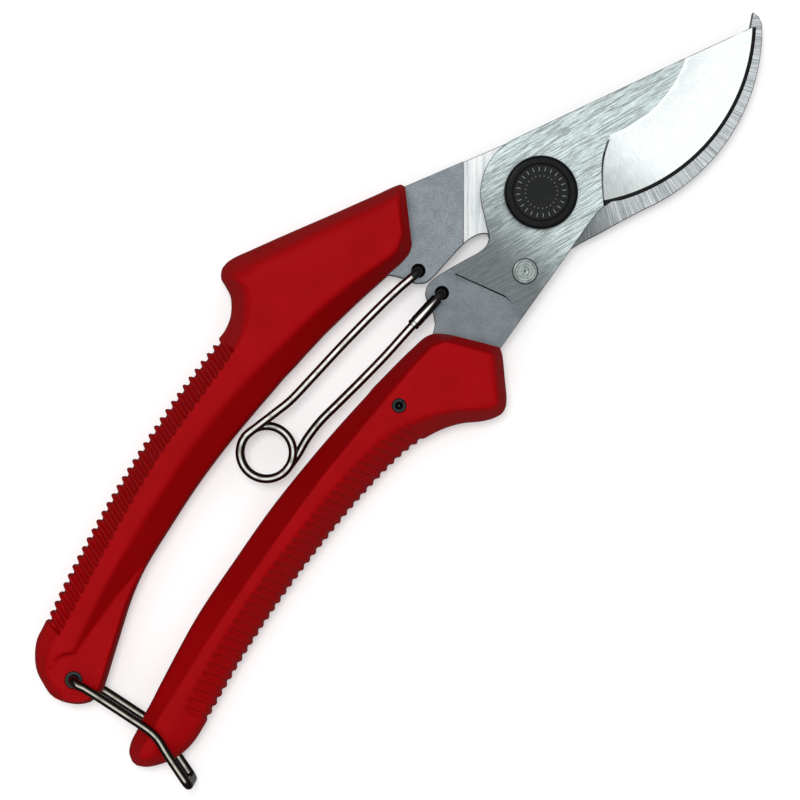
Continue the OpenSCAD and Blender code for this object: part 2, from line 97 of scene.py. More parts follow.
LOWER_HOLE = np.array([-28.8, 2.35])
UPPER_PIN_POS = np.array([-55.0, 24.0])
LOWER_PIN_POS = np.array([-52.2, -5.8])
COIL_POS = np.array([-77.1, 8.9])
BAIL_POS = np.array([-138.2, 9.15])


# ---- curves -------------------------------------------------------------------------------

def polar(radius, degrees):
    """Points at a radius from the origin, in the directions given."""
    angle = np.radians(degrees)
    return radius * np.stack([np.cos(angle), np.sin(angle)], -1)


def arc(centre, radius, start, end, steps):
    """Points round a centre from one direction in degrees to another."""
    return centre + polar(radius, np.linspace(start, end, steps + 1))


def circle(centre, radius, sides=40):
    """A clockwise closed outline."""
    return arc(np.array(centre), radius, 360, 360 / sides, sides - 1)


def spline(points, steps):
    """A smooth curve through all the points, with the given number of steps between two points."""
    p = np.asarray(points, float)
    length = np.maximum(np.linalg.norm(np.diff(p, axis=0), axis=-1), 1e-6)
    t = np.concatenate([[0], np.cumsum(length)])
    slope = np.empty_like(p)
    slope[1:-1] = (p[2:] - p[:-2]) / (t[2:] - t[:-2])[:, None]
    slope[0] = (p[1] - p[0]) / length[0]
    slope[-1] = (p[-1] - p[-2]) / length[-1]
    s = np.arange(steps)[:, None] / steps
    out = []
    for i, span in enumerate(length):
        out.append((1 + 2 * s) * (1 - s) ** 2 * p[i] + s * (1 - s) ** 2 * span * slope[i]
                   + s * s * (3 - 2 * s) * p[i + 1] + s * s * (s - 1) * span * slope[i + 1])
    return np.concatenate(out + [p[-1:]])


def bezier(p, steps):
    """A cubic curve from its four control points."""
    t = np.linspace(0, 1, steps + 1)[:, None]
    p = np.asarray(p, float)
    return (1 - t) ** 3 * p[0] + 3 * (1 - t) ** 2 * t * p[1] + 3 * (1 - t) * t * t * p[2] + t ** 3 * p[3]


def curve_at(points, x):
    """Height at x of a smooth curve through points listed in order of falling x."""
    dense = spline(points, 24)
    return np.interp(-np.asarray(x), -dense[:, 0], dense[:, 1])


def smooth(t):
    """An even rise from 0 to 1 while t goes from 0 to 1."""
    t = np.clip(t, 0, 1)
    return t * t * (3 - 2 * t)


def side_of(line, x, y):
    """Distance of points from an open polyline, positive on its left."""
    line = np.asarray(line, float)
    a, d = line[:-1], np.diff(line, axis=0)
    px, py = x[:, None] - a[:, 0], y[:, None] - a[:, 1]
    t = np.clip((px * d[:, 0] + py * d[:, 1]) / (d ** 2).sum(1), 0, 1)
    gap = np.hypot(px - t * d[:, 0], py - t * d[:, 1])
    near = gap.argmin(1)
    rows = np.arange(len(x))
    cross = (d[:, 0] * py - d[:, 1] * px)[rows, near]
    return np.where(cross >= 0, 1, -1) * gap[rows, near]


def shifted(line, distance):
    """The polyline moved to its left."""
    line = np.asarray(line, float)
    way = np.gradient(line, axis=0)
    way /= np.linalg.norm(way, axis=1)[:, None]
    return line + distance * np.stack([-way[:, 1], way[:, 0]], 1)


def inset(loop, distance):
    """A counter-clockwise outline moved inwards, with a limit for sharp corners."""
    most_stretch = 1.5
    loop = np.asarray(loop, float)
    before = loop - np.roll(loop, 1, 0)
    after = np.roll(loop, -1, 0) - loop
    n1 = np.stack([-before[:, 1], before[:, 0]], 1) / np.linalg.norm(before, axis=1)[:, None]
    n2 = np.stack([-after[:, 1], after[:, 0]], 1) / np.linalg.norm(after, axis=1)[:, None]
    stretch = np.minimum(1 / np.maximum(1 + (n1 * n2).sum(1), 0.3), most_stretch)
    return loop + distance * (n1 + n2) * stretch[:, None]


# ---- meshes -------------------------------------------------------------------------------

def loft(rings, wrap=False):
    """Vertices and faces of a skin through closed rings of equal size, capped or wrapped round."""
    rings = np.asarray(rings, float)
    count, n = rings.shape[:2]
    last = count if wrap else count - 1
    k = np.arange(n)
    faces = []
    for i in range(last):
        a, b = i * n, (i + 1) % count * n
        faces += np.stack([a + k, a + (k + 1) % n, b + (k + 1) % n, b + k], 1).tolist()
    if not wrap:
        faces += [k[::-1].tolist(), ((count - 1) * n + k).tolist()]
    return rings.reshape(-1, 3), faces


def lathe(profile, centre, sides=96, wrap=False):
    """A round shape about a vertical axis from (radius, height) pairs."""
    angle = np.linspace(0, 2 * np.pi, sides, endpoint=False)
    return loft([np.stack([centre[0] + r * np.cos(angle), centre[1] + r * np.sin(angle),
                           np.full(sides, z)], 1) for r, z in profile], wrap)


def tube(path, radius):
    """A round wire along a path, with slightly bevelled ends; radius may differ at each point."""
    sides, end_bevel, end_length = 28, 0.2, 0.1
    way = np.gradient(path, axis=0)
    way /= np.linalg.norm(way, axis=1)[:, None]
    angle = np.linspace(0, 2 * np.pi, sides, endpoint=False)[:, None]
    radii = np.broadcast_to(radius, len(path))
    side = np.array([1.0, 0.0, 0.0])
    rings = []
    for point, t, r in zip(path, way, radii):
        side = side - (side @ t) * t
        side /= np.linalg.norm(side)
        rings.append(point + r * (np.cos(angle) * side + np.sin(angle) * np.cross(t, side)))
    for end, inner, sign in ((0, 0, -1), (-1, len(rings), 1)):
        cap = path[end] + (rings[end] - path[end]) * (1 - end_bevel) + sign * way[end] * end_length
        rings.insert(inner, cap)
    return loft(rings)


def joined(*parts):
    """Several (vertices, faces) pairs as one."""
    verts, faces, start = [], [], 0
    for v, f in parts:
        verts.append(np.asarray(v, float))
        faces += [[start + i for i in face] for face in f]
        start += len(v)
    return np.concatenate(verts), faces


def face_middles(shape):
    """The middle of every face."""
    verts, faces = shape
    return np.array([verts[face].mean(0) for face in faces])


def new_object(name, shape):
    """An object in metres from vertices in millimetres and faces."""
    mesh = bpy.data.meshes.new(name)
    verts, faces = shape
    mesh.from_pydata((np.asarray(verts) * MM).tolist(), [], faces)
    skin = bmesh.new()
    skin.from_mesh(mesh)
    bmesh.ops.recalc_face_normals(skin, faces=skin.faces)
    skin.to_mesh(mesh)
    skin.free()
    obj = bpy.data.objects.new(name, mesh)
    bpy.context.collection.objects.link(obj)
    return obj


def cut(obj, *cutters):
    """Takes the cutters' volumes out of obj."""
    for shape in cutters:
        tool = new_object("cutter", shape)
        difference = obj.modifiers.new("cut", "BOOLEAN")
        difference.operation = "DIFFERENCE"
        difference.solver = "MANIFOLD"
        difference.object = tool
        bpy.context.view_layer.update()
        evaluated = obj.evaluated_get(bpy.context.evaluated_depsgraph_get())
        mesh = bpy.data.meshes.new_from_object(evaluated)
        obj.modifiers.clear()
        obj.data = mesh
        bpy.data.objects.remove(tool)


def finished(obj, nodes, body, slot, looks, sharp=35, zones=None):
    """Gives a piece its looks and shading, attaches it to its body and hides the CAD nodes it stands for.
    Zones hold the number of each face's look. The slot is not used."""
    obj.data.materials.clear()
    for look in looks:
        obj.data.materials.append(LOOKS[look])
    if zones is not None:
        obj.data.polygons.foreach_set("material_index", np.asarray(zones, np.int32))
    obj.data.shade_smooth()
    obj.data.set_sharp_from_angle(angle=math.radians(sharp))
    if body:
        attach(obj, body)
    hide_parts(*nodes)


def piece(node, shape, *details, **settings):
    """The finished piece that stands for one CAD node."""
    finished(new_object(f"{node}_look", shape), [node], *details, **settings)


def inside(loop, x, y):
    """Which points lie inside a closed outline."""
    a, b = np.asarray(loop), np.roll(loop, -1, 0)
    spans = (a[:, 1] > y[:, None]) != (b[:, 1] > y[:, None])
    rise = np.where(b[:, 1] == a[:, 1], 1, b[:, 1] - a[:, 1])
    at = a[:, 0] + (y[:, None] - a[:, 1]) * (b[:, 0] - a[:, 0]) / rise
    return (spans & (x[:, None] < at)).sum(1) % 2 == 1


def plan_points(outline, loops, lines, spacing):
    """The points and edges of a plate's loops and lines, and a staggered grid between them."""
    clearance = 0.45 * spacing
    points, edges = [], []
    for path, closed in [(loop, True) for loop in loops] + [(line, False) for line in lines]:
        start, n = len(points), len(path)
        points += [tuple(p) for p in path]
        edges += [(start + i, start + (i + 1) % n) for i in range(n if closed else n - 1)]
    low, high = np.min(outline, 0), np.max(outline, 0)
    gx, gy = np.meshgrid(np.arange(low[0], high[0], spacing), np.arange(low[1], high[1], spacing))
    gx = (gx + spacing / 2 * (np.arange(gx.shape[0]) % 2)[:, None]).ravel()
    gy = gy.ravel()
    free = inside(outline, gx, gy)
    for path in loops + lines:
        free &= np.abs(side_of(path, gx, gy)) > clearance
    return points + list(zip(gx[free], gy[free])), edges


def plan_triangles(outline, holes, lines, spacing, edge):
    """The plan of a plate as points and triangles, without its holes."""
    whole_plan, tolerance = 0, 1e-5
    rims = [outline] + [circle(centre, radius) for centre, radius in holes]
    loops = rims + [inset(outline, edge)] + [circle(centre, radius + edge) for centre, radius in holes]
    points, edges = plan_points(outline, loops, lines, spacing)
    flat, _, triangles, *_ = geometry.delaunay_2d_cdt(points, edges, [], whole_plan, tolerance)
    flat, triangles = np.array(flat), np.array(triangles)
    x, y = flat[triangles].mean(1).T
    keep = inside(outline, x, y)
    for rim in rims[1:]:
        keep &= ~inside(rim, x, y)
    used, triangles = np.unique(triangles[keep], return_inverse=True)
    return flat[used], triangles.reshape(-1, 3)


def relief_plate(outline, holes, lines, top, bottom, spacing, edge):
    """A plate whose two faces have a height for each place. Its rims are bevelled by edge, and
    lines are places where a face bends. Returns the shape, each face's kind (0 top, 1 bottom,
    2 wall) and the two coordinates of the faces' middles."""
    most_of_thickness = 0.3
    flat, triangles = plan_triangles(outline, holes, lines, spacing, edge)
    sides = np.concatenate([triangles[:, [0, 1]], triangles[:, [1, 2]], triangles[:, [2, 0]]]).tolist()
    known = {tuple(side) for side in sides}
    rim_edges = np.array([(a, b) for a, b in sides if (b, a) not in known])
    on_rim = np.isin(np.arange(len(flat)), rim_edges)
    high_z, low_z = top(*flat.T), bottom(*flat.T)
    drop = np.where(on_rim, np.minimum(edge, most_of_thickness * (high_z - low_z)), 0)
    n = len(flat)
    verts = np.concatenate([np.column_stack([flat, high_z - drop]), np.column_stack([flat, low_z + drop])])
    faces = np.concatenate([triangles, triangles[:, ::-1] + n]).tolist()
    faces += [[b, a, a + n, b + n] for a, b in rim_edges.tolist()]
    kind = np.repeat([0, 1, 2], [len(triangles), len(triangles), len(rim_edges)])
    middle = flat[triangles].mean(1)
    return (verts, faces), kind, np.concatenate([middle, middle, flat[rim_edges].mean(1)]).T


# ---- materials ----------------------------------------------------------------------------

def feed(tree, node, inputs):
    """Puts links or values on a node's inputs."""
    for key, value in inputs.items():
        if isinstance(value, bpy.types.NodeSocket):
            tree.links.new(value, node.inputs[key])
        else:
            node.inputs[key].default_value = value


def add_node(tree, kind, inputs=(), **settings):
    node = tree.nodes.new(f"ShaderNode{kind}")
    for name, value in settings.items():
        setattr(node, name, value)
    feed(tree, node, dict(inputs))
    return node


class Look:
    """A material whose nodes work in millimetres on the piece's own coordinates."""

    def __init__(self, name, **inputs):
        self.material = bpy.data.materials.new(name)
        self.material.use_nodes = True
        self.tree = self.material.node_tree
        self.set({socket.replace("_", " "): value for socket, value in inputs.items()})
        metres = self.add("TexCoord").outputs["Object"]
        self.place = self.vector("SCALE", metres, Scale=1 / MM)

    def set(self, inputs):
        feed(self.tree, self.tree.nodes["Principled BSDF"], inputs)

    def add(self, kind, inputs=(), **settings):
        return add_node(self.tree, kind, inputs, **settings)

    def vector(self, operation, a, b=None, **named):
        inputs = {0: a, **named}
        if b is not None:
            inputs[1] = b
        return self.add("VectorMath", inputs, operation=operation).outputs["Vector"]

    def parts(self, vector):
        return self.add("SeparateXYZ", {0: vector}).outputs

    def math(self, operation, a, b=0.0):
        return self.add("Math", {0: a, 1: b}, operation=operation).outputs[0]

    def total(self, *shares):
        """The sum of pairs of a value and its weight."""
        first, *others = [self.math("MULTIPLY", value, weight) for value, weight in shares]
        for other in others:
            first = self.math("ADD", first, other)
        return first

    def noise(self, scale, place=None, detail=3.0, roughness=0.6):
        inputs = {"Vector": place or self.place, "Scale": scale, "Detail": detail, "Roughness": roughness}
        return self.add("TexNoise", inputs).outputs["Fac"]

    def lines(self, degrees, along, across):
        """Coordinates that are long in one direction in plan and short across it."""
        turned = self.add("VectorRotate", {"Vector": self.place, "Angle": math.radians(-degrees)},
                          rotation_type="Z_AXIS").outputs["Vector"]
        return self.vector("MULTIPLY", turned, (along, across, across))

    def about(self, centre):
        """The place's coordinates and its distance from a vertical axis through a centre."""
        local = self.vector("SUBTRACT", self.place, (*centre, 0))
        flat = self.vector("MULTIPLY", local, (1, 1, 0))
        out = self.add("VectorMath", {0: flat}, operation="LENGTH").outputs["Value"]
        return self.parts(local), out

    def rays(self, centre, radius, along, across):
        """Coordinates for lines that run out from a centre; across is counted at the radius."""
        local, out = self.about(centre)
        angle = self.math("ARCTAN2", local["Y"], local["X"])
        packed = {"X": self.math("MULTIPLY", out, along),
                  "Y": self.math("MULTIPLY", angle, radius * across),
                  "Z": self.math("MULTIPLY", local["Z"], across)}
        return self.add("CombineXYZ", packed).outputs[0]

    def rings(self, centre, scale):
        """Coordinates for rings round a centre."""
        out = self.about(centre)[1]
        return self.add("CombineXYZ", {"X": self.math("MULTIPLY", out, scale)}).outputs[0]

    def ramp(self, value, low, high, out_low=0.0, out_high=1.0):
        inputs = {"Value": value, "From Min": low, "From Max": high, "To Min": out_low, "To Max": out_high}
        return self.add("MapRange", inputs, interpolation_type="SMOOTHSTEP").outputs["Result"]

    def mix(self, factor, a, b):
        a, b = [(*v, 1) if isinstance(v, tuple) else v for v in (a, b)]
        return self.add("Mix", {0: factor, 6: a, 7: b}, data_type="RGBA").outputs[2]

    def marked(self, colour, where, strength, tint):
        """The colour with marks of a tint where the value is high."""
        return self.mix(self.math("MULTIPLY", where, strength), colour, tint)

    def level(self):
        """1 where the piece's own surface lies flat and 0 where it is upright, at any pose."""
        normal = self.add("TexCoord").outputs["Normal"]
        return self.math("ABSOLUTE", self.parts(normal)["Z"])

    def made(self, colour, roughness, height, depth):
        """The material, with a relief of the given depth in millimetres between height 0 and 1."""
        relief = self.add("Bump", {"Height": height, "Strength": 1.0, "Distance": depth * MM})
        self.set({"Base Color": colour, "Roughness": roughness, "Normal": relief.outputs["Normal"]})
        return self.material


def red_plastic():
    look = Look("satin_red_plastic", Specular_IOR_Level=0.055)
    cloud = look.ramp(look.noise(0.12, detail=2.0), 0.35, 0.65)
    grain = look.noise(9.0, detail=4.0)
    scuffs = look.ramp(look.noise(1.0, look.lines(20, 0.25, 3.0), 4.0), 0.66, 0.78)
    colour = look.mix(cloud, (0.31, 0.001, 0.0026), (0.34, 0.0013, 0.0033))
    colour = look.marked(colour, scuffs, 0.25, (0.42, 0.01, 0.014))
    # Painted shade: sloped and upright faces are darker than the flat top, as if lit from straight above
    colour = look.mix(look.ramp(look.level(), 0.6, 0.99), (0.24, 0.0006, 0.0014), colour)
    relief = look.total((grain, 1.0), (look.noise(2.5), 0.6))
    return look.made(colour, look.ramp(grain, 0.3, 0.7, 0.38, 0.5), relief, 0.022)


def steel(name, dark, light, place, contrast=(0.36, 0.64), roughness=(0.3, 0.45), depth=0.01,
          scratches=0.15, darkening=None):
    """Ground or brushed steel whose grain follows the coordinates that place makes. With dull, two
    X positions, a strength and a colour, it takes on that colour from the first to the second."""
    look = Look(name, Metallic=1.0)
    lines = place(look)
    grain = look.noise(1.0, lines, detail=5.0, roughness=0.7)
    patches = look.ramp(look.noise(0.22, detail=3.0), 0.3, 0.7)
    speckle = look.ramp(look.noise(2.4, detail=4.0, roughness=0.8), *contrast)
    shade = look.total((look.ramp(grain, *contrast), 0.75), (patches, 0.1), (speckle, 0.15))
    colour = look.mix(shade, dark, light)
    if darkening:
        start, end, strength, tint = darkening
        ragged_by = 4.0
        ragged = look.total((look.parts(look.place)["X"], 1.0), (look.noise(0.5), ragged_by))
        share = look.ramp(ragged, start + ragged_by / 2, end + ragged_by / 2)
        colour = look.marked(colour, share, strength, look.mix(shade, tuple(0.75 * t for t in tint), tint))
    marks = look.ramp(look.noise(2.6, lines, detail=2.0), 0.68, 0.76)
    colour = look.marked(colour, marks, scratches, (0.2, 0.21, 0.22))
    return look.made(colour, look.ramp(grain, 0.25, 0.75, roughness[1], roughness[0]), grain, depth)


def blasted_steel(name, tone):
    """Matt steel with a fine speckle and some stains."""
    look = Look(name, Metallic=0.85)
    fine = look.noise(4.6, detail=3.0, roughness=0.8)
    broad = look.noise(0.35, detail=4.0)
    stains = look.ramp(look.noise(0.8, detail=5.0, roughness=0.75), 0.6, 0.78)
    shade = look.total((look.ramp(fine, 0.37, 0.63), 0.75), (look.ramp(broad, 0.3, 0.7), 0.25))
    low, high = [tuple(tone * v for v in c) for c in ((0.155, 0.182, 0.2), (0.38, 0.425, 0.455))]
    colour = look.mix(shade, low, high)
    colour = look.marked(colour, stains, 0.2, (0.14, 0.15, 0.155))
    return look.made(colour, look.ramp(fine, 0.3, 0.7, 0.46, 0.6), fine, 0.03)


def black_oxide(name, base, rough, worn):
    """Dark oiled steel with a base brightness, rubbed bright in places."""
    look = Look(name, Metallic=0.55, Specular_IOR_Level=0.25)
    grain = look.noise(6.0, detail=4.0)
    rubbed = look.ramp(look.noise(1.3, detail=5.0, roughness=0.75), 0.58, 0.8)
    low, high = [tuple(base * v for v in c) for c in ((0.8, 0.85, 0.85), (1.3, 1.4, 1.4))]
    colour = look.marked(look.mix(grain, low, high), rubbed, worn, (0.3, 0.31, 0.3))
    return look.made(colour, look.ramp(grain, 0.3, 0.7, rough - 0.06, rough + 0.1), grain, 0.012)


def turned_steel(name, centre):
    """Steel with rings from a lathe round a centre."""
    look = Look(name, Metallic=1.0)
    grain = look.noise(1.0, look.rings(centre, 3.2), detail=3.0)
    spots = look.ramp(look.noise(1.6, detail=4.0), 0.35, 0.75)
    shade = look.total((look.ramp(grain, 0.3, 0.7), 0.7), (spots, 0.3))
    colour = look.mix(shade, (0.04, 0.055, 0.053), (0.62, 0.7, 0.68))
    return look.made(colour, look.ramp(grain, 0.3, 0.7, 0.42, 0.28), grain, 0.03)


def plated_wire(name, painted_highlight, dull_and_side_reflection, edge, reach):
    """Painted reflections fixed to the wire's own normal: a painted highlight along its top, a
    painted dark band on its shoulders and painted duller sides. The highlight has duller patches.
    """
    look = Look(name, Metallic=1.0)
    pits = look.noise(5.0, detail=3.0)
    darkening = look.ramp(look.noise(0.5, detail=4.0), 0.4, 0.75)
    highlight_colour = look.mix(darkening, painted_highlight, dull_and_side_reflection)
    # Painted reflection by the wire's own normal: highlight on top, dark band on the shoulders, duller
    # sides
    level = look.level()
    top = look.mix(look.ramp(level, 1 - reach, 0.99), edge, highlight_colour)
    colour = look.mix(look.ramp(level, 0.38, 0.12), top, dull_and_side_reflection)
    return look.made(colour, look.ramp(pits, 0.3, 0.75, 0.06, 0.16), pits, 0.002)


def zinc():
    look = Look("zinc_plate", Metallic=1.0)
    spangle = look.add("TexVoronoi", {"Vector": look.place, "Scale": 0.9}).outputs["Color"]
    tone = look.add("SeparateColor", {0: spangle}).outputs[0]
    fine = look.noise(4.0, detail=3.0)
    colour = look.mix(tone, (0.5, 0.52, 0.52), (0.66, 0.67, 0.64))
    return look.made(colour, look.ramp(fine, 0.3, 0.7, 0.3, 0.5), fine, 0.012)


def nylon():
    look = Look("nylon")
    fine = look.noise(5.0, detail=3.0)
    colour = look.mix(fine, (0.68, 0.7, 0.66), (0.8, 0.81, 0.78))
    return look.made(colour, look.ramp(fine, 0.3, 0.7, 0.42, 0.6), fine, 0.015)


GRAIN_DEGREES = -19.5
RECESS_DEGREES = 39.9
LOOKS = {
    "red": red_plastic(),
    "brushed": steel("brushed_steel", (0.23, 0.275, 0.275), (0.86, 0.98, 0.98),
                     lambda look: look.lines(GRAIN_DEGREES, 0.24, 5.5), depth=0.012,
                     contrast=(0.4, 0.6), darkening=(-1, -17, 0.95, (0.17, 0.19, 0.195))),
    "hollow": steel("hollow_ground_steel", (0.88, 0.95, 0.95), (0.97, 1.0, 1.0),
                    lambda look: look.rays(EDGE_CENTRE, 32, 0.12, 3.0), roughness=(0.16, 0.28),
                    depth=0.003, scratches=0.05, darkening=(22, 9, 0.8, (0.45, 0.5, 0.5))),
    # Near-black paint for the blades: a painted dark reflection on the edge bevels, and painted shade along
    # the heel, on the tang step and in the spring holes
    "bevel": black_oxide("painted_dark_reflection_and_shade", 0.012, 0.3, 0.0),
    "blasted": blasted_steel("blasted_steel", 1.09),
    "lower_blasted": blasted_steel("darker_blasted_steel", 0.86),
    "recess": steel("ground_recess_steel", (0.58, 0.64, 0.65), (1.0, 1.0, 1.0),
                    lambda look: look.lines(RECESS_DEGREES, 0.05, 1.5), depth=0.012, scratches=0.3),
    # Painted shade: the hook darkens towards its root, under the cutting blade's lower edge
    "hook": steel("ground_hook_steel", (0.24, 0.26, 0.28), (0.78, 0.83, 0.84),
                  lambda look: look.rays(HOOK_CENTRE, 40, 0.08, 3.4), depth=0.015, scratches=0.3,
                  darkening=(11, 0, 0.9, (0.17, 0.185, 0.19))),
    "black": black_oxide("black_oxide", 0.008, 0.28, 0.1),
    "black_disc": black_oxide("black_oxide_disc", 0.014, 0.42, 0.3),
    "worn_mark": black_oxide("worn_mark", 0.22, 0.35, 0.8),
    "stop": turned_steel("turned_stop_pin", STOP_POS),
    "zinc": zinc(),
    "nylon": nylon(),
    "dark_pin": black_oxide("oiled_pin_steel", 0.03, 0.32, 0.25),
    # The wire looks paint reflections: a highlight colour, a colour for duller patches and the sides, a
    # dark shoulder band, and how far the highlight reaches from the top
    "wire": plated_wire("nickel_plated_wire", (0.92, 0.94, 0.9), (0.5, 0.51, 0.47),
                        (0.08, 0.04, 0.036), 0.055),
    "coil": plated_wire("duller_coil_wire", (0.78, 0.8, 0.75), (0.3, 0.31, 0.27),
                        (0.06, 0.035, 0.03), 0.055),
    # Near black where the spring wire bends down into the spring holes
    "wire_end": black_oxide("near_black_wire_end", 0.012, 0.3, 0.1),
    "sleeve": plated_wire("polished_sleeve", (1.0, 1.0, 0.96), (0.8, 0.81, 0.77),
                          (0.035, 0.03, 0.028), 0.045),
    "bail": plated_wire("darker_plated_wire", (0.6, 0.6, 0.52), (0.3, 0.29, 0.24),
                        (0.045, 0.035, 0.03), 0.035),
}


# ---- blades -------------------------------------------------------------------------------

BLADE_TIP = np.array([54.2, -11.3])
SPINE_ANGLE = math.degrees(math.atan2(BLADE_TIP[1], BLADE_TIP[0])
                           + math.acos(DISC_R / np.linalg.norm(BLADE_TIP)))

SLOT_LOWER_EDGE = [(-12.3, 4.3), (-13.3, 2.8), (-14.2, 2), (-15.8, 1.6), (-17.5, 1.9), (-20.8, 3.2),
                   (-24.2, 4.45), (-26.7, 5.3), (-28.3, 5.62), (-29.8, 5.55), (-31, 4.95),
                   (-31.8, 3.9), (-33.1, 1.1), (-34.6, -0.7)]
CUTTING_TANG_CORE = [(-37.5, -2.2), (-72, -2.4), (-72, -8.2), (-55, -9.2), (-42, -12.6), (-29.7, -14.2)]
CUTTING_LOW_EDGE = [(-20.4, -13.45), (-10, -12.6), (-5, -12.2), (0, -11.75), (4.2, -11.5),
                    (6.1, -11.75), (8.3, -12.35)]
HEEL_CURVE = [(6.1, -11.75), (9.9, -8.0), (13.6, -5.1), (17.3, -3.4)]
TANG_LINE = [(-24.6, 6.2), (-23.9, 2.8), (-20.8, -8.2), (-21.2, -10.4), (-20.2, -13.6)]
UNDER_STEP_R = 20.5
UNDER_STEP_RUN = 0.4

HOOK_ROOT = [(-4.83, -12.15), (-2.2, -13.05), (2, -14.8), (6.7, -16.6)]
HOOK_NOSE = [(56.4, -12.5), (57.1, -11), (57, -9.6)]
HOOK_INSIDE = [(54.2, -11.2), (34, -20.5), (17, -13), (11.2, -5.2)]
BACK_EDGE = [(2, 12.8)]
COUNTER_TANG_CORE = [(-16.7, 22.2), (-19, 22.7), (-36, 28.5), (-56, 28), (-78, 26.5), (-78, 22),
                     (-56, 19.5), (-38, 16.5), (-33.4, 13.6)]
SLOT_UPPER_EDGE = [(-32.7, 12.7), (-31.8, 10.9), (-31, 8.35), (-30.2, 7.15), (-29, 6.2), (-27.5, 5.9),
                   (-24, 5.75), (-20.8, 5.65), (-18.5, 5.5), (-16.7, 5.2), (-15, 4.6), (-13.75, 3.7),
                   (-13.3, 3)]
STOP_HEEL = [(-14.6, 0.6), (-17.2, -1.6), (-18.2, -4.2)]
STOP_HEEL_R = 2.3
RECESS_LINE = [(2.7, 23.27), (-5.4, 16.5), (-18.5, 5.55), (-23.1, 1.7)]
RECESS_WALL = 0.4
RECESS_FOOT = 0.35
RECESS_FOOT_RUN = 2.2
RECESS_BENDS = [0, RECESS_WALL, 0.75, 1.2, 1.8, RECESS_WALL + RECESS_FOOT_RUN]

RIM = 0.13
BLADE_SHARP = 28
SINK_R = 1.5
SINK_DEPTH = 0.9
UPPER_THROAT = 1.02
LOWER_THROAT = 1.22
HEEL_RUN = 0.5
HOLLOW_POWER = 1.6
BEVEL_RISE = 0.3
GRIND_RINGS = [GRIND_R, 26.2, 27.6, 29.2, 31, 33, 35, 36.6, EDGE_R - BEVEL_W, EDGE_R - 0.35]


def cutting_outline():
    return np.concatenate([
        [BLADE_TIP, polar(DISC_R, SPINE_ANGLE)],
        arc(PIVOT, DISC_R, SPINE_ANGLE + 4, 150, 40),
        spline(SLOT_LOWER_EDGE, 4),
        CUTTING_TANG_CORE,
        spline(CUTTING_LOW_EDGE, 5),
        arc(EDGE_CENTRE, EDGE_R, 236, 308.2, 90)])


def counter_outline():
    return np.concatenate([
        HOOK_ROOT,
        arc(HOOK_CENTRE, HOOK_R, 243.7, 309, 90),
        HOOK_NOSE,
        bezier(HOOK_INSIDE, 30),
        arc(PIVOT, DISC_R - 0.1, -22, 62, 24),
        BACK_EDGE,
        COUNTER_TANG_CORE,
        spline(SLOT_UPPER_EDGE, 4),
        STOP_HEEL,
        arc(STOP_POS, STOP_HEEL_R, 150, 40, 10),
        arc(PIVOT, DISC_R + 0.8, 214, 246, 10)])


def hollow_height(radius):
    """Height of the ground face at a distance from the edge's centre."""
    bevel_start = EDGE_R - BEVEL_W
    depth = BLADE_TOP - MID_Z - SLIDE_GAP - EDGE_T - BEVEL_RISE
    t = np.clip((radius - GRIND_R) / (bevel_start - GRIND_R), 0, 1)
    fall = BEVEL_RISE * np.clip((radius - bevel_start) / BEVEL_W, 0, 1)
    return BLADE_TOP - depth * (1 - (1 - t) ** HOLLOW_POWER) - fall


def edge_distance(x, y):
    """Distance from the centre of the cutting edge's arc."""
    return np.hypot(x - EDGE_CENTRE[0], y - EDGE_CENTRE[1])


def heel_side(x, y):
    """Distance past the heel line, positive on the ground side."""
    return -side_of([(3, -15.1)] + list(spline(HEEL_CURVE, 6)) + [(26, -1.5)], x, y)


def countersink(x, y, hole, throat):
    """How far a face drops towards the narrow throat of a spring hole."""
    out = np.hypot(x - hole[0], y - hole[1])
    return SINK_DEPTH * np.clip((SINK_R - out) / (SINK_R - throat), 0, 1)


def in_countersink(kind, x, y, hole):
    """The walls and the sunk rim of a spring hole, where the shade in the hole is painted."""
    return (kind != 1) & (np.hypot(x - hole[0], y - hole[1]) < SINK_R)


def tang_side(x, y):
    """Distance past the line where the flat drops to the tang, positive on the tang."""
    return -side_of([(-24.6, 20)] + TANG_LINE + [(-20.2, -30)], x, y)


def cutting_top(x, y):
    ground = hollow_height(edge_distance(x, y))
    z = BLADE_TOP + (ground - BLADE_TOP) * np.clip(heel_side(x, y) / HEEL_RUN, 0, 1)
    tang_drop = BLADE_TOP - MID_Z - TANG_UP - SLIDE_GAP
    # A sharp step in its middle, which runs out softly towards both edges of the tang
    run = 0.3 + 2.2 * smooth((y - 1.5) / 3) + 1.2 * smooth((-8.5 - y) / 3)
    z = z - tang_drop * smooth(tang_side(x, y) / run)
    return z - countersink(x, y, LOWER_HOLE, LOWER_THROAT)


def cutting_bottom(x, y):
    past = np.clip((np.hypot(x, y) - UNDER_STEP_R) / UNDER_STEP_RUN, 0, 1)
    return np.where(x < 0, MID_Z + SLIDE_GAP - (TANG_DOWN + SLIDE_GAP) * past, MID_Z + SLIDE_GAP)


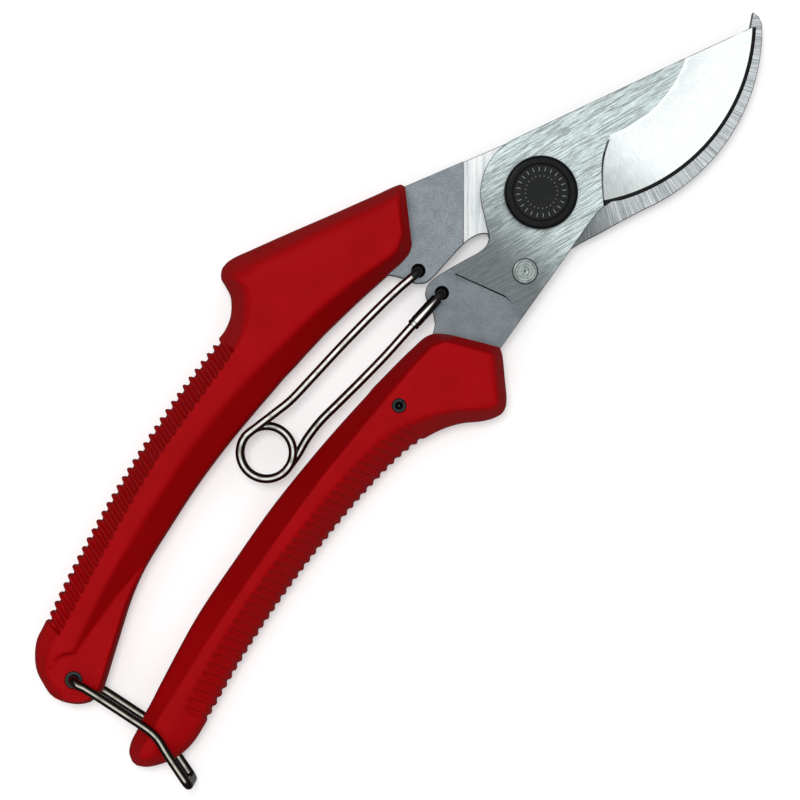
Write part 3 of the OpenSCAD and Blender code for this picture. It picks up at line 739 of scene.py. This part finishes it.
def cutting_blade():
    heel = spline(HEEL_CURVE, 6)
    lines = [arc(EDGE_CENTRE, radius, 215, 320, 110) for radius in GRIND_RINGS]
    lines += [heel, shifted(heel, -HEEL_RUN), np.array(TANG_LINE), shifted(TANG_LINE, -0.3)]
    lines.append(arc(LOWER_HOLE, SINK_R, 0, 360, 40))
    lines += [arc(PIVOT, UNDER_STEP_R + out, 130, 225, 50) for out in (0, UNDER_STEP_RUN)]
    holes = [(STOP_POS, STOP_R), (LOWER_HOLE, LOWER_THROAT), (LOWER_PIN_POS, PIN_HOLE_R),
             (PIVOT, BOLT_HOLE_R)]
    shape, kind, (x, y) = relief_plate(cutting_outline(), holes, lines, cutting_top, cutting_bottom,
                                       spacing=0.8, edge=RIM)
    shadow_start, step_w, step_middle, step_half = GRIND_R + 3, 0.25, -2.7, 5.5
    radius, heel_gap, tang_gap = edge_distance(x, y), heel_side(x, y), tang_side(x, y)
    upper = kind == 0
    # The near-black bevel look paints the shadow along the heel and a dark reflection on the edge bevel
    heel_shadow = upper & (heel_gap > 0) & (heel_gap < HEEL_RUN) & (radius > shadow_start)
    bevel = upper & (heel_gap > 0.2) & (radius > EDGE_R - BEVEL_W)
    hollow = upper & (heel_gap > 0) & (radius > GRIND_R)
    # Painted shade: a thin near-black line along the foot of the tang step
    step_shade_line = upper & (tang_gap > 0) & (tang_gap < step_w) & (np.abs(y - step_middle) < step_half)
    # Painted shade in the spring hole, in the near-black bevel look
    dark = step_shade_line | in_countersink(kind, x, y, LOWER_HOLE)
    zones = np.select([dark, tang_gap > 0, heel_shadow | bevel, hollow], [2, 3, 2, 1], 0)
    piece("cutting_blade", shape, "cutting_arm", "cutting_blade",
          ["brushed", "hollow", "bevel", "lower_blasted"], sharp=BLADE_SHARP, zones=zones)


def recess_gap(x, y):
    """Distance past the recess step, positive towards the pivot."""
    return side_of(RECESS_LINE, x, y)


def counter_top(x, y):
    """The tang's face, the wall of the recess beside the disc and the curve at the wall's foot."""
    gap = recess_gap(x, y)
    wall = np.clip(gap / RECESS_WALL, 0, 1) * (TANG_UP - RECESS_FOOT)
    foot = RECESS_FOOT * (1 - (1 - np.clip((gap - RECESS_WALL) / RECESS_FOOT_RUN, 0, 1)) ** 2)
    return MID_Z + TANG_UP - wall - foot - countersink(x, y, UPPER_HOLE, UPPER_THROAT)


def counter_bottom(x, y):
    return np.full(len(x), STACK_BOTTOM)


def counter_blade():
    lines = [shifted(RECESS_LINE, gap) for gap in RECESS_BENDS]
    lines.append(arc(UPPER_HOLE, SINK_R, 0, 360, 40))
    holes = [(UPPER_HOLE, UPPER_THROAT), (UPPER_PIN_POS, PIN_HOLE_R), (PIVOT, BOLT_R + 0.01)]
    shape, kind, (x, y) = relief_plate(counter_outline(), holes, lines, counter_top, counter_bottom,
                                       spacing=0.9, edge=RIM)
    by_disc = ((x < 4) & (y > 0)) | ((x < -9) & (y < 3))
    # Painted shade in the spring hole, in the near-black bevel look
    zones = np.select([in_countersink(kind, x, y, UPPER_HOLE), recess_gap(x, y) < 0,
                       by_disc & (kind != 1)], [3, 2, 1], 0)
    piece("counter_blade", shape, "counter_arm", "counter_blade",
          ["hook", "recess", "blasted", "bevel"], sharp=BLADE_SHARP, zones=zones)


# ---- grips --------------------------------------------------------------------------------

# Sections from the front to the rear: inner edge a, flat face from c to d, outer edge b, and the
# height of the flat face where it isn't GRIP_HALF
UPPER_FRONT = [
    [(-25.2, 13.4), (-23.6, 15.2), (-18.3, 20.8), (-16.8, 22.35), 5.2],
    [(-26.7, 12.7), (-25.5, 16), (-20, 22), (-17.2, 23.4)],
    [(-29, 12.6), (-28, 15), (-25, 23.8), (-22, 25.8)],
    [(-33, 13.2), (-33, 16), (-32.5, 27.5), (-31, 30.2)],
    [(-40, 14.2), (-40, 18), (-40.5, 30.9), (-40, 34.7)],
    [(-46, 14.9), (-46, 19.3), (-47.4, 33.8), (-47.6, 38.4)],
    [(-49, 15.2), (-49, 19.8), (-50.7, 35.1), (-51.3, 40.1)],
    [(-51, 15.4), (-51, 20), (-52.5, 36), (-53.8, 40.4)],
    [(-53, 15.5), (-53, 20.3), (-53.4, 35.4), (-55.7, 39.2)],
    [(-55, 15.6), (-55, 20.5), (-53.9, 34), (-56.5, 37.2)],
    [(-57, 15.7), (-57, 20.7), (-55.2, 32.2), (-57.5, 35.1)],
    [(-60, 15.8), (-60, 21), (-58.5, 29.6), (-60.2, 32.8)],
    [(-63, 16), (-63, 21.3), (-62.5, 27.7), (-63.2, 31.7)]]
UPPER_REAR = [
    [(-134.5, 4.1), (-134.5, 12.9), (-134.5, 17), (-134.5, 21.05), 5.7],
    [(-137, 3.3), (-137, 10.5), (-137, 16.4), (-137, 20.4), 5.5],
    [(-139.6, 3.6), (-139, 8.2), (-139, 15.4), (-139.8, 18.6), 5.2],
    [(-141.6, 5.1), (-140.6, 8.3), (-140.6, 13.8), (-142, 16.2), 4.9],
    [(-143.2, 7.6), (-141.8, 9), (-141.8, 12), (-143.3, 13.2), 4.5],
    [(-143.8, 9.6), (-142.8, 10), (-142.8, 11), (-143.8, 11.6), 3.8]]
# Long edges of the ribbed lengths, in the same order
UPPER_INNER = [(-60, 15.9), (-72, 16.1), (-82, 16), (-92, 15.4), (-102, 14.2), (-112, 12.7),
               (-119, 10.6), (-126, 7.7), (-134.5, 4.1)]
UPPER_FACET_LOW = [(-63, 21.3), (-72, 21.8), (-82, 21.7), (-92, 20.9), (-105, 19.2), (-118, 16.9),
                   (-134.5, 13)]
UPPER_FACET_HIGH = [(-63, 27.5), (-70, 26.7), (-80, 26), (-92, 25), (-105, 22.9), (-118, 20.3),
                    (-134.5, 17)]
UPPER_OUTER = [(-64, 31.6), (-75, 31.2), (-87, 30.2), (-100, 28.5), (-112, 26.4), (-123, 24),
               (-133, 21.4)]
LOWER_FRONT = [
    [(-34.6, -3.9), (-33.8, -5.6), (-30.5, -12.4), (-29.7, -14.1), 5.2],
    [(-36.2, -1.8), (-36.4, -4.4), (-32, -14.2), (-30.6, -15.5)],
    [(-38.1, -0.8), (-38.5, -3.3), (-35.5, -17.7), (-34.2, -19.2)],
    [(-41, -0.35), (-41, -3), (-38.2, -20.4), (-37.4, -22.3)],
    [(-44, 0), (-44, -2.9), (-39.4, -21), (-39.5, -23.1)],
    [(-47, 0.25), (-47, -2.9), (-41, -20.2), (-41.7, -22.4)],
    [(-49, 0.4), (-49, -2.9), (-43.3, -17.9), (-43.9, -20.8)],
    [(-51, 0.55), (-51, -2.95), (-46.2, -14.9), (-46.7, -18.1)],
    [(-53, 0.7), (-53, -2.95), (-49.8, -12), (-50, -15.9)]]
LOWER_REAR = [
    [(-132, -6), (-132, -9.3), (-132, -12.6), (-132, -17.9), GRIP_END_HALF],
    [(-135, -6.6), (-135, -9.9), (-135, -13), (-135, -17.8), GRIP_END_HALF],
    [(-138, -7.4), (-138, -10.4), (-138, -13.2), (-138, -17), GRIP_END_HALF],
    [(-140.6, -8), (-140.2, -10.8), (-140.2, -13), (-140.8, -15.4), GRIP_END_HALF],
    [(-142.6, -9.1), (-141.6, -11), (-141.6, -12.6), (-142.7, -13.8), 5],
    [(-143.6, -10.7), (-142.7, -11.2), (-142.7, -12), (-143.6, -12.3), 3.8]]
LOWER_INNER = [(-53, 0.6), (-62, 0.95), (-72, 1.1), (-85, 0.8), (-98, -0.3), (-112, -1.8), (-125, -4.4),
               (-132, -6)]
LOWER_FACET_HIGH = [(-53, -2.95), (-72, -3.2), (-85, -4), (-98, -5.1), (-112, -6.6), (-132, -9.4)]
LOWER_FACET_LOW = [(-53, -10.2), (-58, -8.1), (-68, -6.9), (-85, -6.8), (-98, -7.4), (-112, -8.9),
                   (-132, -12.6)]
LOWER_OUTER = [(-53.8, -14.2), (-60, -12.8), (-72, -12), (-85, -12.15), (-98, -12.9), (-112, -14.5),
               (-129, -17.5)]

SECTION_STEP = 4
STATION_STEP = 0.2
CORNER_STEPS = 5
# How far each corner of a section is cut back, and the steps of the edge after it. The corners
# run from the inner edge over the upper face to the outer edge and back under the grip.
UPPER_CUT = [1.0, 1.0, 1.3, 0.8, 1.2, 1.2, 0.8, 1.3]
LOWER_CUT = [1.0, 1.0, 0.45, 2.6, 2.0, 2.0, 2.6, 0.45]
# The same round the shoulders at the front, and where the change to the palm starts and ends
UPPER_FRONT_CUT = [1.0, 1.0, 1.3, 3.6, 2.3, 2.3, 3.6, 1.3]
LOWER_FRONT_CUT = [1.0, 1.0, 1.0, 2.0, 1.8, 1.8, 2.0, 1.0]
PALM_START, PALM_FULL = -54, -66
EDGE_STEPS = [4, 16, 5, 16, 5, 16, 5, 16]
THROUGH = 17


def palm_half(t):
    """Half the grip's thickness, which tapers along the ribbed length while t goes from 0 to 1."""
    taper_start, taper_power = 0.45, 1.4
    share = max(0, (t - taper_start) / (1 - taper_start))
    return GRIP_HALF - (GRIP_HALF - GRIP_END_HALF) * share ** taper_power


def corners(a, c, d, b, h=GRIP_HALF):
    """The eight sharp corners of a section."""
    w = GRIP_WALL
    return [(*a, -w), (*a, w), (*c, h), (*d, h), (*b, w), (*b, -w), (*d, -h), (*c, -h)]


def palm_sections(edges, first, last):
    """Sections along the ribbed length."""
    stations = np.linspace(first, last, round((first - last) / SECTION_STEP) + 1)
    return [[(x, curve_at(edge, x)) for edge in edges] + [palm_half((first - x) / (first - last))]
            for x in stations]


def dense_corners(sections):
    """The eight sharp corners of closely spaced rings on smooth curves through the sections."""
    coarse = np.array([corners(*section) for section in sections])
    spans = np.abs(np.diff(coarse, axis=0)).max((1, 2))
    steps = [max(3, round(span / STATION_STEP)) for span in spans]
    columns = []
    for column in np.moveaxis(coarse, 1, 0):
        fine = {n: spline(column, n) for n in set(steps)}
        columns.append(np.concatenate([fine[n][i * n:(i + 1) * n] for i, n in enumerate(steps)]
                                      + [column[-1:]]))
    return np.clip(np.stack(columns, 1), coarse.min((0, 1)), coarse.max((0, 1)))


def grip_rings(sections, front_cut, palm_cut):
    """Dense rings with rounded corners, and for each its eight sharp corners."""
    most_of_edge = 0.42
    sharp = dense_corners(sections)
    palm = smooth((PALM_START - sharp[:, :1, 0]) / (PALM_START - PALM_FULL))
    starts, ends, points = [], [], []
    for k in range(8):
        here = sharp[:, k]
        corner_cut = front_cut[k] + (palm_cut[k] - front_cut[k]) * palm
        for other, keep in ((sharp[:, k - 1], starts), (sharp[:, (k + 1) % 8], ends)):
            length = np.linalg.norm(other - here, axis=1)[:, None]
            keep.append(here + (other - here) * np.minimum(corner_cut / length, most_of_edge))
    for k in range(8):
        for s in np.linspace(0, 1, CORNER_STEPS + 1):
            points.append((1 - s) ** 2 * starts[k] + 2 * s * (1 - s) * sharp[:, k] + s * s * ends[k])
        for s in np.linspace(0, 1, EDGE_STEPS[k] + 1)[1:-1]:
            points.append(ends[k] + (starts[(k + 1) % 8] - ends[k]) * s)
    return np.stack(points, 1), sharp


def ribs(rings, sharp, outward, first, last, depth, crest, flank, lean=0.25):
    """Cuts the finger grooves over the outer wall and the bevel, with rounded inner ends."""
    x, y, z = np.moveaxis(rings, 2, 0)
    way_in = (sharp[:, 4:5, 1] - y) * outward
    phase = (first - x - lean * way_in) / RIB_PITCH
    from_crest = np.abs(phase - np.round(phase)) * RIB_PITCH
    groove = smooth((from_crest - crest) / flank)
    from_flat = (y - sharp[:, 3:4, 1]) * outward
    off_centre = (RIB_PITCH / 2 - from_crest) / (RIB_PITCH / 2)
    fade = smooth((from_flat + 0.1 - 0.45 * off_centre ** 2) / 0.5)
    ends = smooth((first + 0.3 - x) / 0.6) * smooth((x - last) / 0.6)
    cut_depth = depth * groove * fade * ends
    slope = smooth((np.abs(z) - GRIP_WALL) / 1.5)
    rings[:, :, 1] -= outward * cut_depth * (1 - 0.35 * slope)
    rings[:, :, 2] -= np.sign(z) * cut_depth * 0.6 * slope


def capped(rings):
    """Adds a smaller ring at the front and a narrow flat one at the rear as bevelled ends."""
    front, rear = rings[0], rings[-1]
    front_share, rear_share, rear_half = 0.88, 0.8, GRIP_WALL - 0.3
    start = front.mean(0) + (front - front.mean(0)) * front_share
    end = rear.mean(0) + (rear - rear.mean(0)) * rear_share
    end[:, 0] = rear[:, 0].min()
    end[:, 2] = np.clip(end[:, 2], -rear_half, rear_half)
    return np.concatenate([[start], rings, [end]])


def latch_pad(rings, sharp):
    """The flat pad that runs back to a round seat about the eyelet."""
    slope, lip, seat_r, seat, start, run = 0.9, 0.8, 5.3, 4.7, -108, 5
    x, y, z = np.moveaxis(rings, 2, 0)
    pad = np.interp(-x, [112.7, 120, 130, 134], [3.1, 3.9, 4.5, seat])
    a_y, c_y, d_y, h = sharp[:, 1:2, 1], sharp[:, 2:3, 1], sharp[:, 3:4, 1], sharp[:, 2:3, 2]
    bevel = np.clip(h - slope * (c_y - y), 0, h)
    level = np.minimum(np.maximum(bevel, pad), h)
    wall = GRIP_WALL + (level - GRIP_WALL) * smooth((y - a_y) / lip)
    inner_side = y < np.minimum(c_y + 1.5, (c_y + d_y) / 2)
    on_bevel = (np.abs(z) > GRIP_WALL - 0.3) & inner_side & (x < start)
    blend = smooth((start - x) / run)
    shaped = np.minimum(np.maximum(wall, GRIP_WALL), np.maximum(np.abs(z), wall))
    height = np.where(on_bevel, np.abs(z) + (shaped - np.abs(z)) * blend, np.abs(z))
    out = np.hypot(x - BAIL_POS[0], y - BAIL_POS[1])
    seat_share = 1 - smooth((out - seat_r) / 0.5)
    high = np.abs(z) > GRIP_WALL + 0.8
    height = np.where(high, height + (np.minimum(height, seat) - height) * seat_share, height)
    rings[:, :, 2] = np.sign(z) * height


def drill(radius, top, centre):
    """The volume of a hole from below the part up to a height."""
    below = -1
    return lathe([(radius, below), (radius, top)], centre)


def pocket(outline, low, high):
    """The volume of a pocket for a tang, with a little room above and below it."""
    room = 0.01
    return loft([np.column_stack([outline, np.full(len(outline), z)]) for z in (low - room, high + room)])


def moulded_grip(node, body, rings, *cutters):
    grip = new_object(f"{node}_look", loft(capped(rings) + (0, 0, MID_Z)))
    cut(grip, *cutters)
    finished(grip, [node], body, "grip_plastic", ["red"], sharp=50)


def upper_grip():
    edges = (UPPER_INNER, UPPER_FACET_LOW, UPPER_FACET_HIGH, UPPER_OUTER)
    sections = UPPER_FRONT + palm_sections(edges, -66.2, -132) + UPPER_REAR
    rings, sharp = grip_rings(sections, UPPER_FRONT_CUT, UPPER_CUT)
    latch_pad(rings, sharp)
    ribs(rings, sharp, 1, -65.3, -133.2, depth=0.88, crest=0.12, flank=0.62)
    moulded_grip("upper_grip", "counter_arm", rings, drill(EYELET_HOLE_R, THROUGH, BAIL_POS),
                 pocket(counter_outline(), STACK_BOTTOM, MID_Z + TANG_UP),
                 drill(GRIP_PIN_HOLE_R, MID_Z + TANG_UP + 1, UPPER_PIN_POS))


def lower_grip():
    edges = (LOWER_INNER, LOWER_FACET_HIGH, LOWER_FACET_LOW, LOWER_OUTER)
    sections = LOWER_FRONT + palm_sections(edges, -54.4, -128.2) + LOWER_REAR
    rings, sharp = grip_rings(sections, LOWER_FRONT_CUT, LOWER_CUT)
    ribs(rings, sharp, -1, -53.9, -128.2, depth=0.45, crest=0.1, flank=0.75)
    moulded_grip("lower_grip", "cutting_arm", rings, drill(GRIP_PIN_HOLE_R, THROUGH, LOWER_PIN_POS),
                 pocket(cutting_outline(), MID_Z - TANG_DOWN, MID_Z + TANG_UP + SLIDE_GAP))


def roll_pin(node, pos, low, high, body):
    """A slotted spring pin with chamfered ends, whose bore and slot close inside the grip."""
    outer, chamfer = 1.49, 0.2
    # Distance from the end, outer radius, bore radius and half the slot's angle
    half = [(0, outer - chamfer, 0.9, 11), (chamfer, outer, 0.9, 11), (2.0, outer, 0.1, 0.6)]
    rings = []
    for z, end in [(low + h[0], h) for h in half] + [(high - h[0], h) for h in half[::-1]]:
        angle = np.radians(np.linspace(end[3], 360 - end[3], 40))
        ring = [pos + radius * np.stack([np.cos(a), np.sin(a)], 1)
                for radius, a in ((end[1], angle), (end[2], angle[::-1]))]
        flat = np.concatenate(ring)
        rings.append(np.column_stack([flat, np.full(len(flat), z)]))
    piece(node, loft(rings), body, "dark_pin_steel", ["dark_pin"])


# ---- pivot --------------------------------------------------------------------------------

def disc_mark(start, length, turn, level):
    """A tick with sloping sides on the bolt's disc, from a radius outwards."""
    width, sunk, rise, slope = 0.26, 0.05, 0.12, 0.06
    spin = np.array([[np.cos(turn), np.sin(turn)], [-np.sin(turn), np.cos(turn)]])
    rings = []
    for z, trim in ((level - sunk, 0), (level + rise, slope)):
        near, far, half = start + trim, start + length - trim, width / 2 - trim
        box = np.array([(near, -half), (far, -half), (far, half), (near, half)])
        rings.append(np.column_stack([box @ spin, np.full(4, z)]))
    return loft(rings)


def pivot_bolt():
    """A bolt whose head has a sunk disc with plain ticks and dots."""
    top, disc_r, marks = HEAD_Z + 2.3, 5.6, 24
    disc = top - 0.3
    head = [(0.05, disc), (disc_r, disc), (5.72, disc - 0.12), (5.84, disc - 0.12), (5.92, top - 0.08),
            (6.02, top), (6.6, top - 0.02), (7.1, top - 0.16), (7.4, top - 0.4), (7.56, top - 0.75),
            (7.6, top - 1.1), (7.6, HEAD_Z + 0.2), (7.45, HEAD_Z)]
    shank = [(BOLT_R, HEAD_Z), (BOLT_R, 4.4), (3.8, 4.2), (3.0, 4.2)]
    thread = [(r, z) for turn in np.arange(4.0, 0.5, -0.5) for r, z in ((3.0, turn), (2.8, turn - 0.25))]
    body = lathe(head + shank + thread + [(3.0, 0.45), (2.65, 0.0), (0.05, 0.0)], PIVOT, 128)
    shape = joined(body, *[disc_mark(start, length, turn, disc)
                           for turn in np.radians(360 / marks * np.arange(marks))
                           for start, length in ((4.3, 0.9), (3.15, 0.32))])
    x, y, z = face_middles(shape).T
    zones = np.where((np.hypot(x, y) < disc_r + 0.1) & (z > disc - 0.02), 1, 0)
    zones[len(body[1]):] = 2
    piece("pivot_bolt", shape, "counter_arm", "black_oxide", ["black", "black_disc", "worn_mark"],
          zones=zones)


def washer(node, inner, outer, low, high, slot, look, dish=0.0):
    """A washer round the bolt with its edges broken, whose inner rim lies lower by the dish."""
    c = 0.08
    profile = [(inner + c, low), (outer - c, low + dish), (outer, low + dish + c), (outer, high - c),
               (outer - c, high), (inner + c, high - dish), (inner, high - dish - c), (inner, low + c)]
    piece(node, lathe(profile, PIVOT, 96, wrap=True), "counter_arm", slot, [look])


def pivot_nut():
    """A hexagon nut with both corners chamfered and a ring pocket for its nylon insert."""
    flats, sides = 6.5, 120
    angle = np.linspace(0, 2 * np.pi, sides, endpoint=False)
    hexagon = flats / np.cos((angle + np.pi / 6) % (np.pi / 3) - np.pi / 6)
    outside = ((0.0, 6.45), (0.35, 7.1), (0.55, 9), (NUT_TOP - 0.55, 9), (NUT_TOP - 0.35, 7.1),
               (NUT_TOP, 6.45))
    bore = ((3.3, NUT_TOP), (3.02, NUT_TOP - 0.3), (3.02, 1.0), (4.42, 1.0), (4.42, 0.1), (4.52, 0.0))
    rings = [(np.minimum(hexagon, limit), z) for z, limit in outside]
    rings += [(np.full(sides, r), z) for r, z in bore]
    shape = loft([np.stack([r * np.cos(angle), r * np.sin(angle), np.full(sides, z)], 1)
                  for r, z in rings], wrap=True)
    piece("pivot_nut", shape, "counter_arm", "zinc_steel", ["zinc"], sharp=25)


def pivot_stack():
    washer("head_washer", BOLT_HOLE_R, 7.2, BLADE_TOP + SLIDE_GAP, HEAD_Z, "black_oxide", "black")
    washer("spring_washer", BOLT_HOLE_R, 7.0, WASHER_TOP, STACK_BOTTOM, "zinc_steel", "zinc", dish=0.35)
    washer("nut_washer", 3.05, 6.8, NUT_TOP, WASHER_TOP, "zinc_steel", "zinc")
    washer("nut_insert", NUT_HOLE_R, 4.4, 0.0, 1.0, "nylon", "nylon")


def stop_pin():
    top = BLADE_TOP + 0.7
    head = [(0.05, top - 0.3), (0.16, top - 0.26), (0.42, top - 0.1), (0.6, top - 0.08),
            (0.9, top - 0.06), (1.5, top - 0.03), (1.62, top - 0.06), (1.74, top - 0.02),
            (2.2, top), (2.45, top - 0.06), (2.62, top - 0.2), (2.7, top - 0.42), (2.7, BLADE_TOP + 0.02)]
    shank = [(STOP_R, BLADE_TOP + 0.02), (STOP_R, 5.4), (2.0, 5.2), (0.05, 5.2)]
    piece("stop_pin", lathe(head + shank, STOP_POS, 72), "cutting_arm", "turned_steel", ["stop"])


# ---- return spring ------------------------------------------------------------------------

SPRING_WIRE_R = 0.9
COIL_R = 5.45
COIL_PITCH = 1.95
COIL_MID_Z = 10.32
COIL_START, COIL_END, COIL_STEP = 90, 628, 6
LEG_Z = 11.9
LEG_BEND = 1.3
UPPER_LEG = [(-73.3, 13.55, 11.8), (-69.5, 12.7, 11.8), (-65.7, 11.95, 11.8), (-60, 11.6, 11.8),
             (-50, 11.1, 11.85), (-40, 10.35, LEG_Z), (-34, 9.7, LEG_Z)]
LEG_JOIN = np.array([-40, 2.75, LEG_Z])
LOWER_LEG = [(-73.4, 3.75, 8.95), (-69.5, 4.4, 9.3), (-65, 4.55, 9.85), (-60, 4.1, 10.55),
             (-53, 3.45, 11.4), (-46, 2.95, 11.8), tuple(LEG_JOIN)]
SLEEVE_LENGTH = 7.6
SLEEVE_GAP = 2.1
PEENED_R = 1.4


def leg_end(hole, under):
    """The square bend above a tang's hole, the straight end that goes down through it and the two
    points of its peened head, just under the tang's lower face."""
    bend = [(hole[0] - LEG_BEND * (1 - math.sin(a)), hole[1], LEG_Z - LEG_BEND * (1 - math.cos(a)))
            for a in np.linspace(0, math.pi / 2, 9)]
    heights = [*np.linspace(LEG_Z - LEG_BEND, under, 6)[1:], under - 0.05, under - 0.4]
    return bend + [(hole[0], hole[1], z) for z in heights]


def return_spring():
    steps, blend_half = 8, 2.3
    turn = np.arange(COIL_START, COIL_END, COIL_STEP)
    height = COIL_MID_Z - COIL_PITCH * (turn - turn.mean()) / 360
    coil = np.column_stack([COIL_POS + polar(COIL_R, turn), height])
    upper_end, lower_end = leg_end(UPPER_HOLE, STACK_BOTTOM), leg_end(LOWER_HOLE, MID_Z - TANG_DOWN)
    upper = spline([coil[1], coil[0]] + UPPER_LEG + [upper_end[0]], steps)[steps:]
    lower = spline([coil[-2], coil[-1]] + LOWER_LEG + [lower_end[0]], steps)[steps:]
    path = np.concatenate([upper_end[::-1], upper[::-1][1:], coil[1:-1], lower[:-1], lower_end])
    radii = np.full(len(path), SPRING_WIRE_R)
    radii[[0, 1, -2, -1]] = PEENED_R
    shape = tube(path, radii)
    plan = face_middles(shape)[:, :2]
    zone = np.zeros(len(plan))
    # Zone 2 makes the wire near black round the spring holes
    for pos, reach, number in ((COIL_POS, 16, 1), (UPPER_HOLE, 1.9, 2), (LOWER_HOLE, 2.6, 2)):
        zone[np.linalg.norm(plan - pos, axis=1) < reach] = number
    spring = new_object("return_spring", shape)
    finished(spring, ["spring_upper", "spring_lower"], None, "plated_wire",
             ["wire", "coil", "wire_end"], zones=zone)
    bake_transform(spring)


def spring_sleeve():
    way = np.array([LOWER_HOLE[0] - LEG_BEND, LOWER_HOLE[1], LEG_Z]) - LEG_JOIN
    way /= np.linalg.norm(way)
    start = LEG_JOIN + SLEEVE_GAP * way
    side = np.cross(way, (0, 0, 1))
    angle = np.linspace(0, 2 * np.pi, 40, endpoint=False)[:, None]
    profile = [(0.92, 0.0), (1.12, 0.0), (1.25, 0.16), (1.25, 0.7), (1.14, 0.8), (1.14, 0.95), (1.25, 1.05),
               (1.25, SLEEVE_LENGTH - 0.2), (1.12, SLEEVE_LENGTH), (0.92, SLEEVE_LENGTH)]
    rings = [start + s * way + r * (np.cos(angle) * side + np.sin(angle) * np.array([0, 0, 1]))
             for r, s in profile]
    piece("spring_sleeve", loft(rings, wrap=True), "spring_lower_half", "plated_wire", ["sleeve"])


# ---- latch --------------------------------------------------------------------------------

BAIL_LEG = [(-139, -21.4), (-138.2, -18.6), (-137, -14.6), (-136.1, -11.9), (-135.9, -9.4),
            (-136.4, -4.6), (-137.3, 2.9), (-137.8, 6.5)]
BAIL_WIRE_R = 0.92
BAIL_HALF = 7.05
BAIL_BEND = 1.4


def bail_half():
    """The upper half of the bail's path, from the middle of its crossbar to the end of its stub."""
    leg = np.array(BAIL_LEG, float)
    way = (leg[0] - leg[1]) / np.linalg.norm(leg[0] - leg[1])
    bend = [(BAIL_BEND * math.cos(a), BAIL_HALF - BAIL_BEND + BAIL_BEND * math.sin(a))
            for a in np.linspace(0, math.pi / 2, 9)]
    crossbar = [(*(leg[0] + BAIL_BEND * way), z) for z in (0.8, 2.4, 4.0)]
    crossbar += [(*(leg[0] + out * way), z) for out, z in bend[:-1]]
    stub = [(BAIL_POS[0], BAIL_POS[1] - BAIL_BEND + out, z) for out, z in bend[::-1]]
    stub += [(*BAIL_POS, z) for z in (5.0, 4.0, 2.5)]
    return crossbar + [(*point, BAIL_HALF) for point in spline(leg, 6)] + stub


def latch_bail():
    half = bail_half()
    path = np.array(half[::-1] + [(x, y, -z) for x, y, z in half]) + (0, 0, MID_Z)
    piece("latch_bail", tube(path, BAIL_WIRE_R), "latch", "plated_wire", ["bail"])


def latch_bushing():
    """A rolled tube with a lip that stands just clear of the seats on both faces."""
    half, inner, outer = 4.9, 1.0, 1.8
    up = [(inner, half - 0.3), (inner + 0.12, half - 0.06), (1.4, half), (outer - 0.15, half - 0.08),
          (outer, half - 0.28)]
    profile = [(r, MID_Z + z) for r, z in up] + [(r, MID_Z - z) for r, z in up[::-1]]
    piece("latch_bushing", lathe(profile, BAIL_POS, 64, wrap=True), "latch_pivot", "dark_pin_steel",
          ["dark_pin"])


# ---- set ----------------------------------------------------------------------------------

def floor():
    look = Look("pale_floor", Roughness=0.8, Specular_IOR_Level=0.1, Emission_Color=(1, 1, 1, 1),
                Emission_Strength=0.3)
    look.set({"Base Color": look.mix(look.noise(0.02, detail=2.0), (0.78, 0.78, 0.78), (0.8, 0.8, 0.8))})
    half, height = 1500, -0.1
    corner_ways = ((-1, -1), (1, -1), (1, 1), (-1, 1))
    plane = new_object("floor", ([(half * x, half * y, height) for x, y in corner_ways], [[0, 1, 2, 3]]))
    plane.data.materials.append(look.material)
    plane.visible_glossy = False


# The sky's brightness against the cosine of the angle from its bright middle
SKY_AXIS = (0.0, 0.07, 0.998)
SKY = [(0.0, 0.12), (1.0, 1.0), (0.5, 0.2), (0.68, 0.45), (0.77, 1.0), (0.88, 1.15)]


def area_light(name, place, target, size, power):
    data = bpy.data.lights.new(name, "AREA")
    data.shape = "DISK"
    data.size = size
    data.energy = power
    light = bpy.data.objects.new(name, data)
    light.location = place
    aim = np.array(target) - np.array(place)
    light.rotation_euler = (math.atan2(math.hypot(aim[0], aim[1]), -aim[2]), 0,
                            math.atan2(aim[1], aim[0]) - math.pi / 2)
    bpy.context.collection.objects.link(light)
    return light


def world():
    """A bright patch overhead that falls off quickly, so that round metal gets dark flanks."""
    scene_world = bpy.data.worlds.new("studio")
    bpy.context.scene.world = scene_world
    scene_world.use_nodes = True
    tree = scene_world.node_tree
    way = add_node(tree, "TexCoord").outputs["Generated"]
    height = add_node(tree, "VectorMath", {0: way, 1: SKY_AXIS}, operation="DOT_PRODUCT").outputs["Value"]
    ramp = add_node(tree, "ValToRGB", {"Fac": height})
    feed(tree, tree.nodes["Background"], {"Color": ramp.outputs["Color"]})
    stops = ramp.color_ramp.elements
    for i, (at, grey) in enumerate(SKY):
        stop = stops[i] if i < len(stops) else stops.new(at)
        stop.position, stop.color = at, (grey, grey, grey, 1)


def camera():
    """Straight above the shears, turned so that the blades point up and to the right."""
    sensor, distance, width, turn = 36, 0.640, 0.1652, -50
    data = bpy.data.cameras.new("camera")
    data.sensor_width = sensor
    data.lens = sensor * distance / width
    eye = bpy.data.objects.new("camera", data)
    eye.location = (-0.0512, -0.0052, MID_Z * MM + distance)
    eye.rotation_euler = (0, 0, math.radians(turn))
    bpy.context.collection.objects.link(eye)
    bpy.context.scene.camera = eye


def studio():
    middle = (-0.045, 0.0, 0.0)
    world()
    key = area_light("key", (-0.02, 0.08, 0.93), middle, 0.2, 3.6)
    key.visible_glossy = False
    rim = area_light("rim", (0.0, 0.57, 0.69), middle, 0.4, 0.8)
    rim.visible_diffuse = False
    floor()
    camera()
    bpy.context.scene.view_settings.view_transform = "Standard"


cutting_blade()
counter_blade()
upper_grip()
lower_grip()
pivot_bolt()
pivot_stack()
pivot_nut()
stop_pin()
roll_pin("upper_grip_pin", UPPER_PIN_POS, PIN_SUNK, MID_Z + TANG_UP, "counter_arm")
roll_pin("lower_grip_pin", LOWER_PIN_POS, PIN_SUNK, 2 * MID_Z - PIN_SUNK, "cutting_arm")
return_spring()
spring_sleeve()
latch_bail()
latch_bushing()
studio()
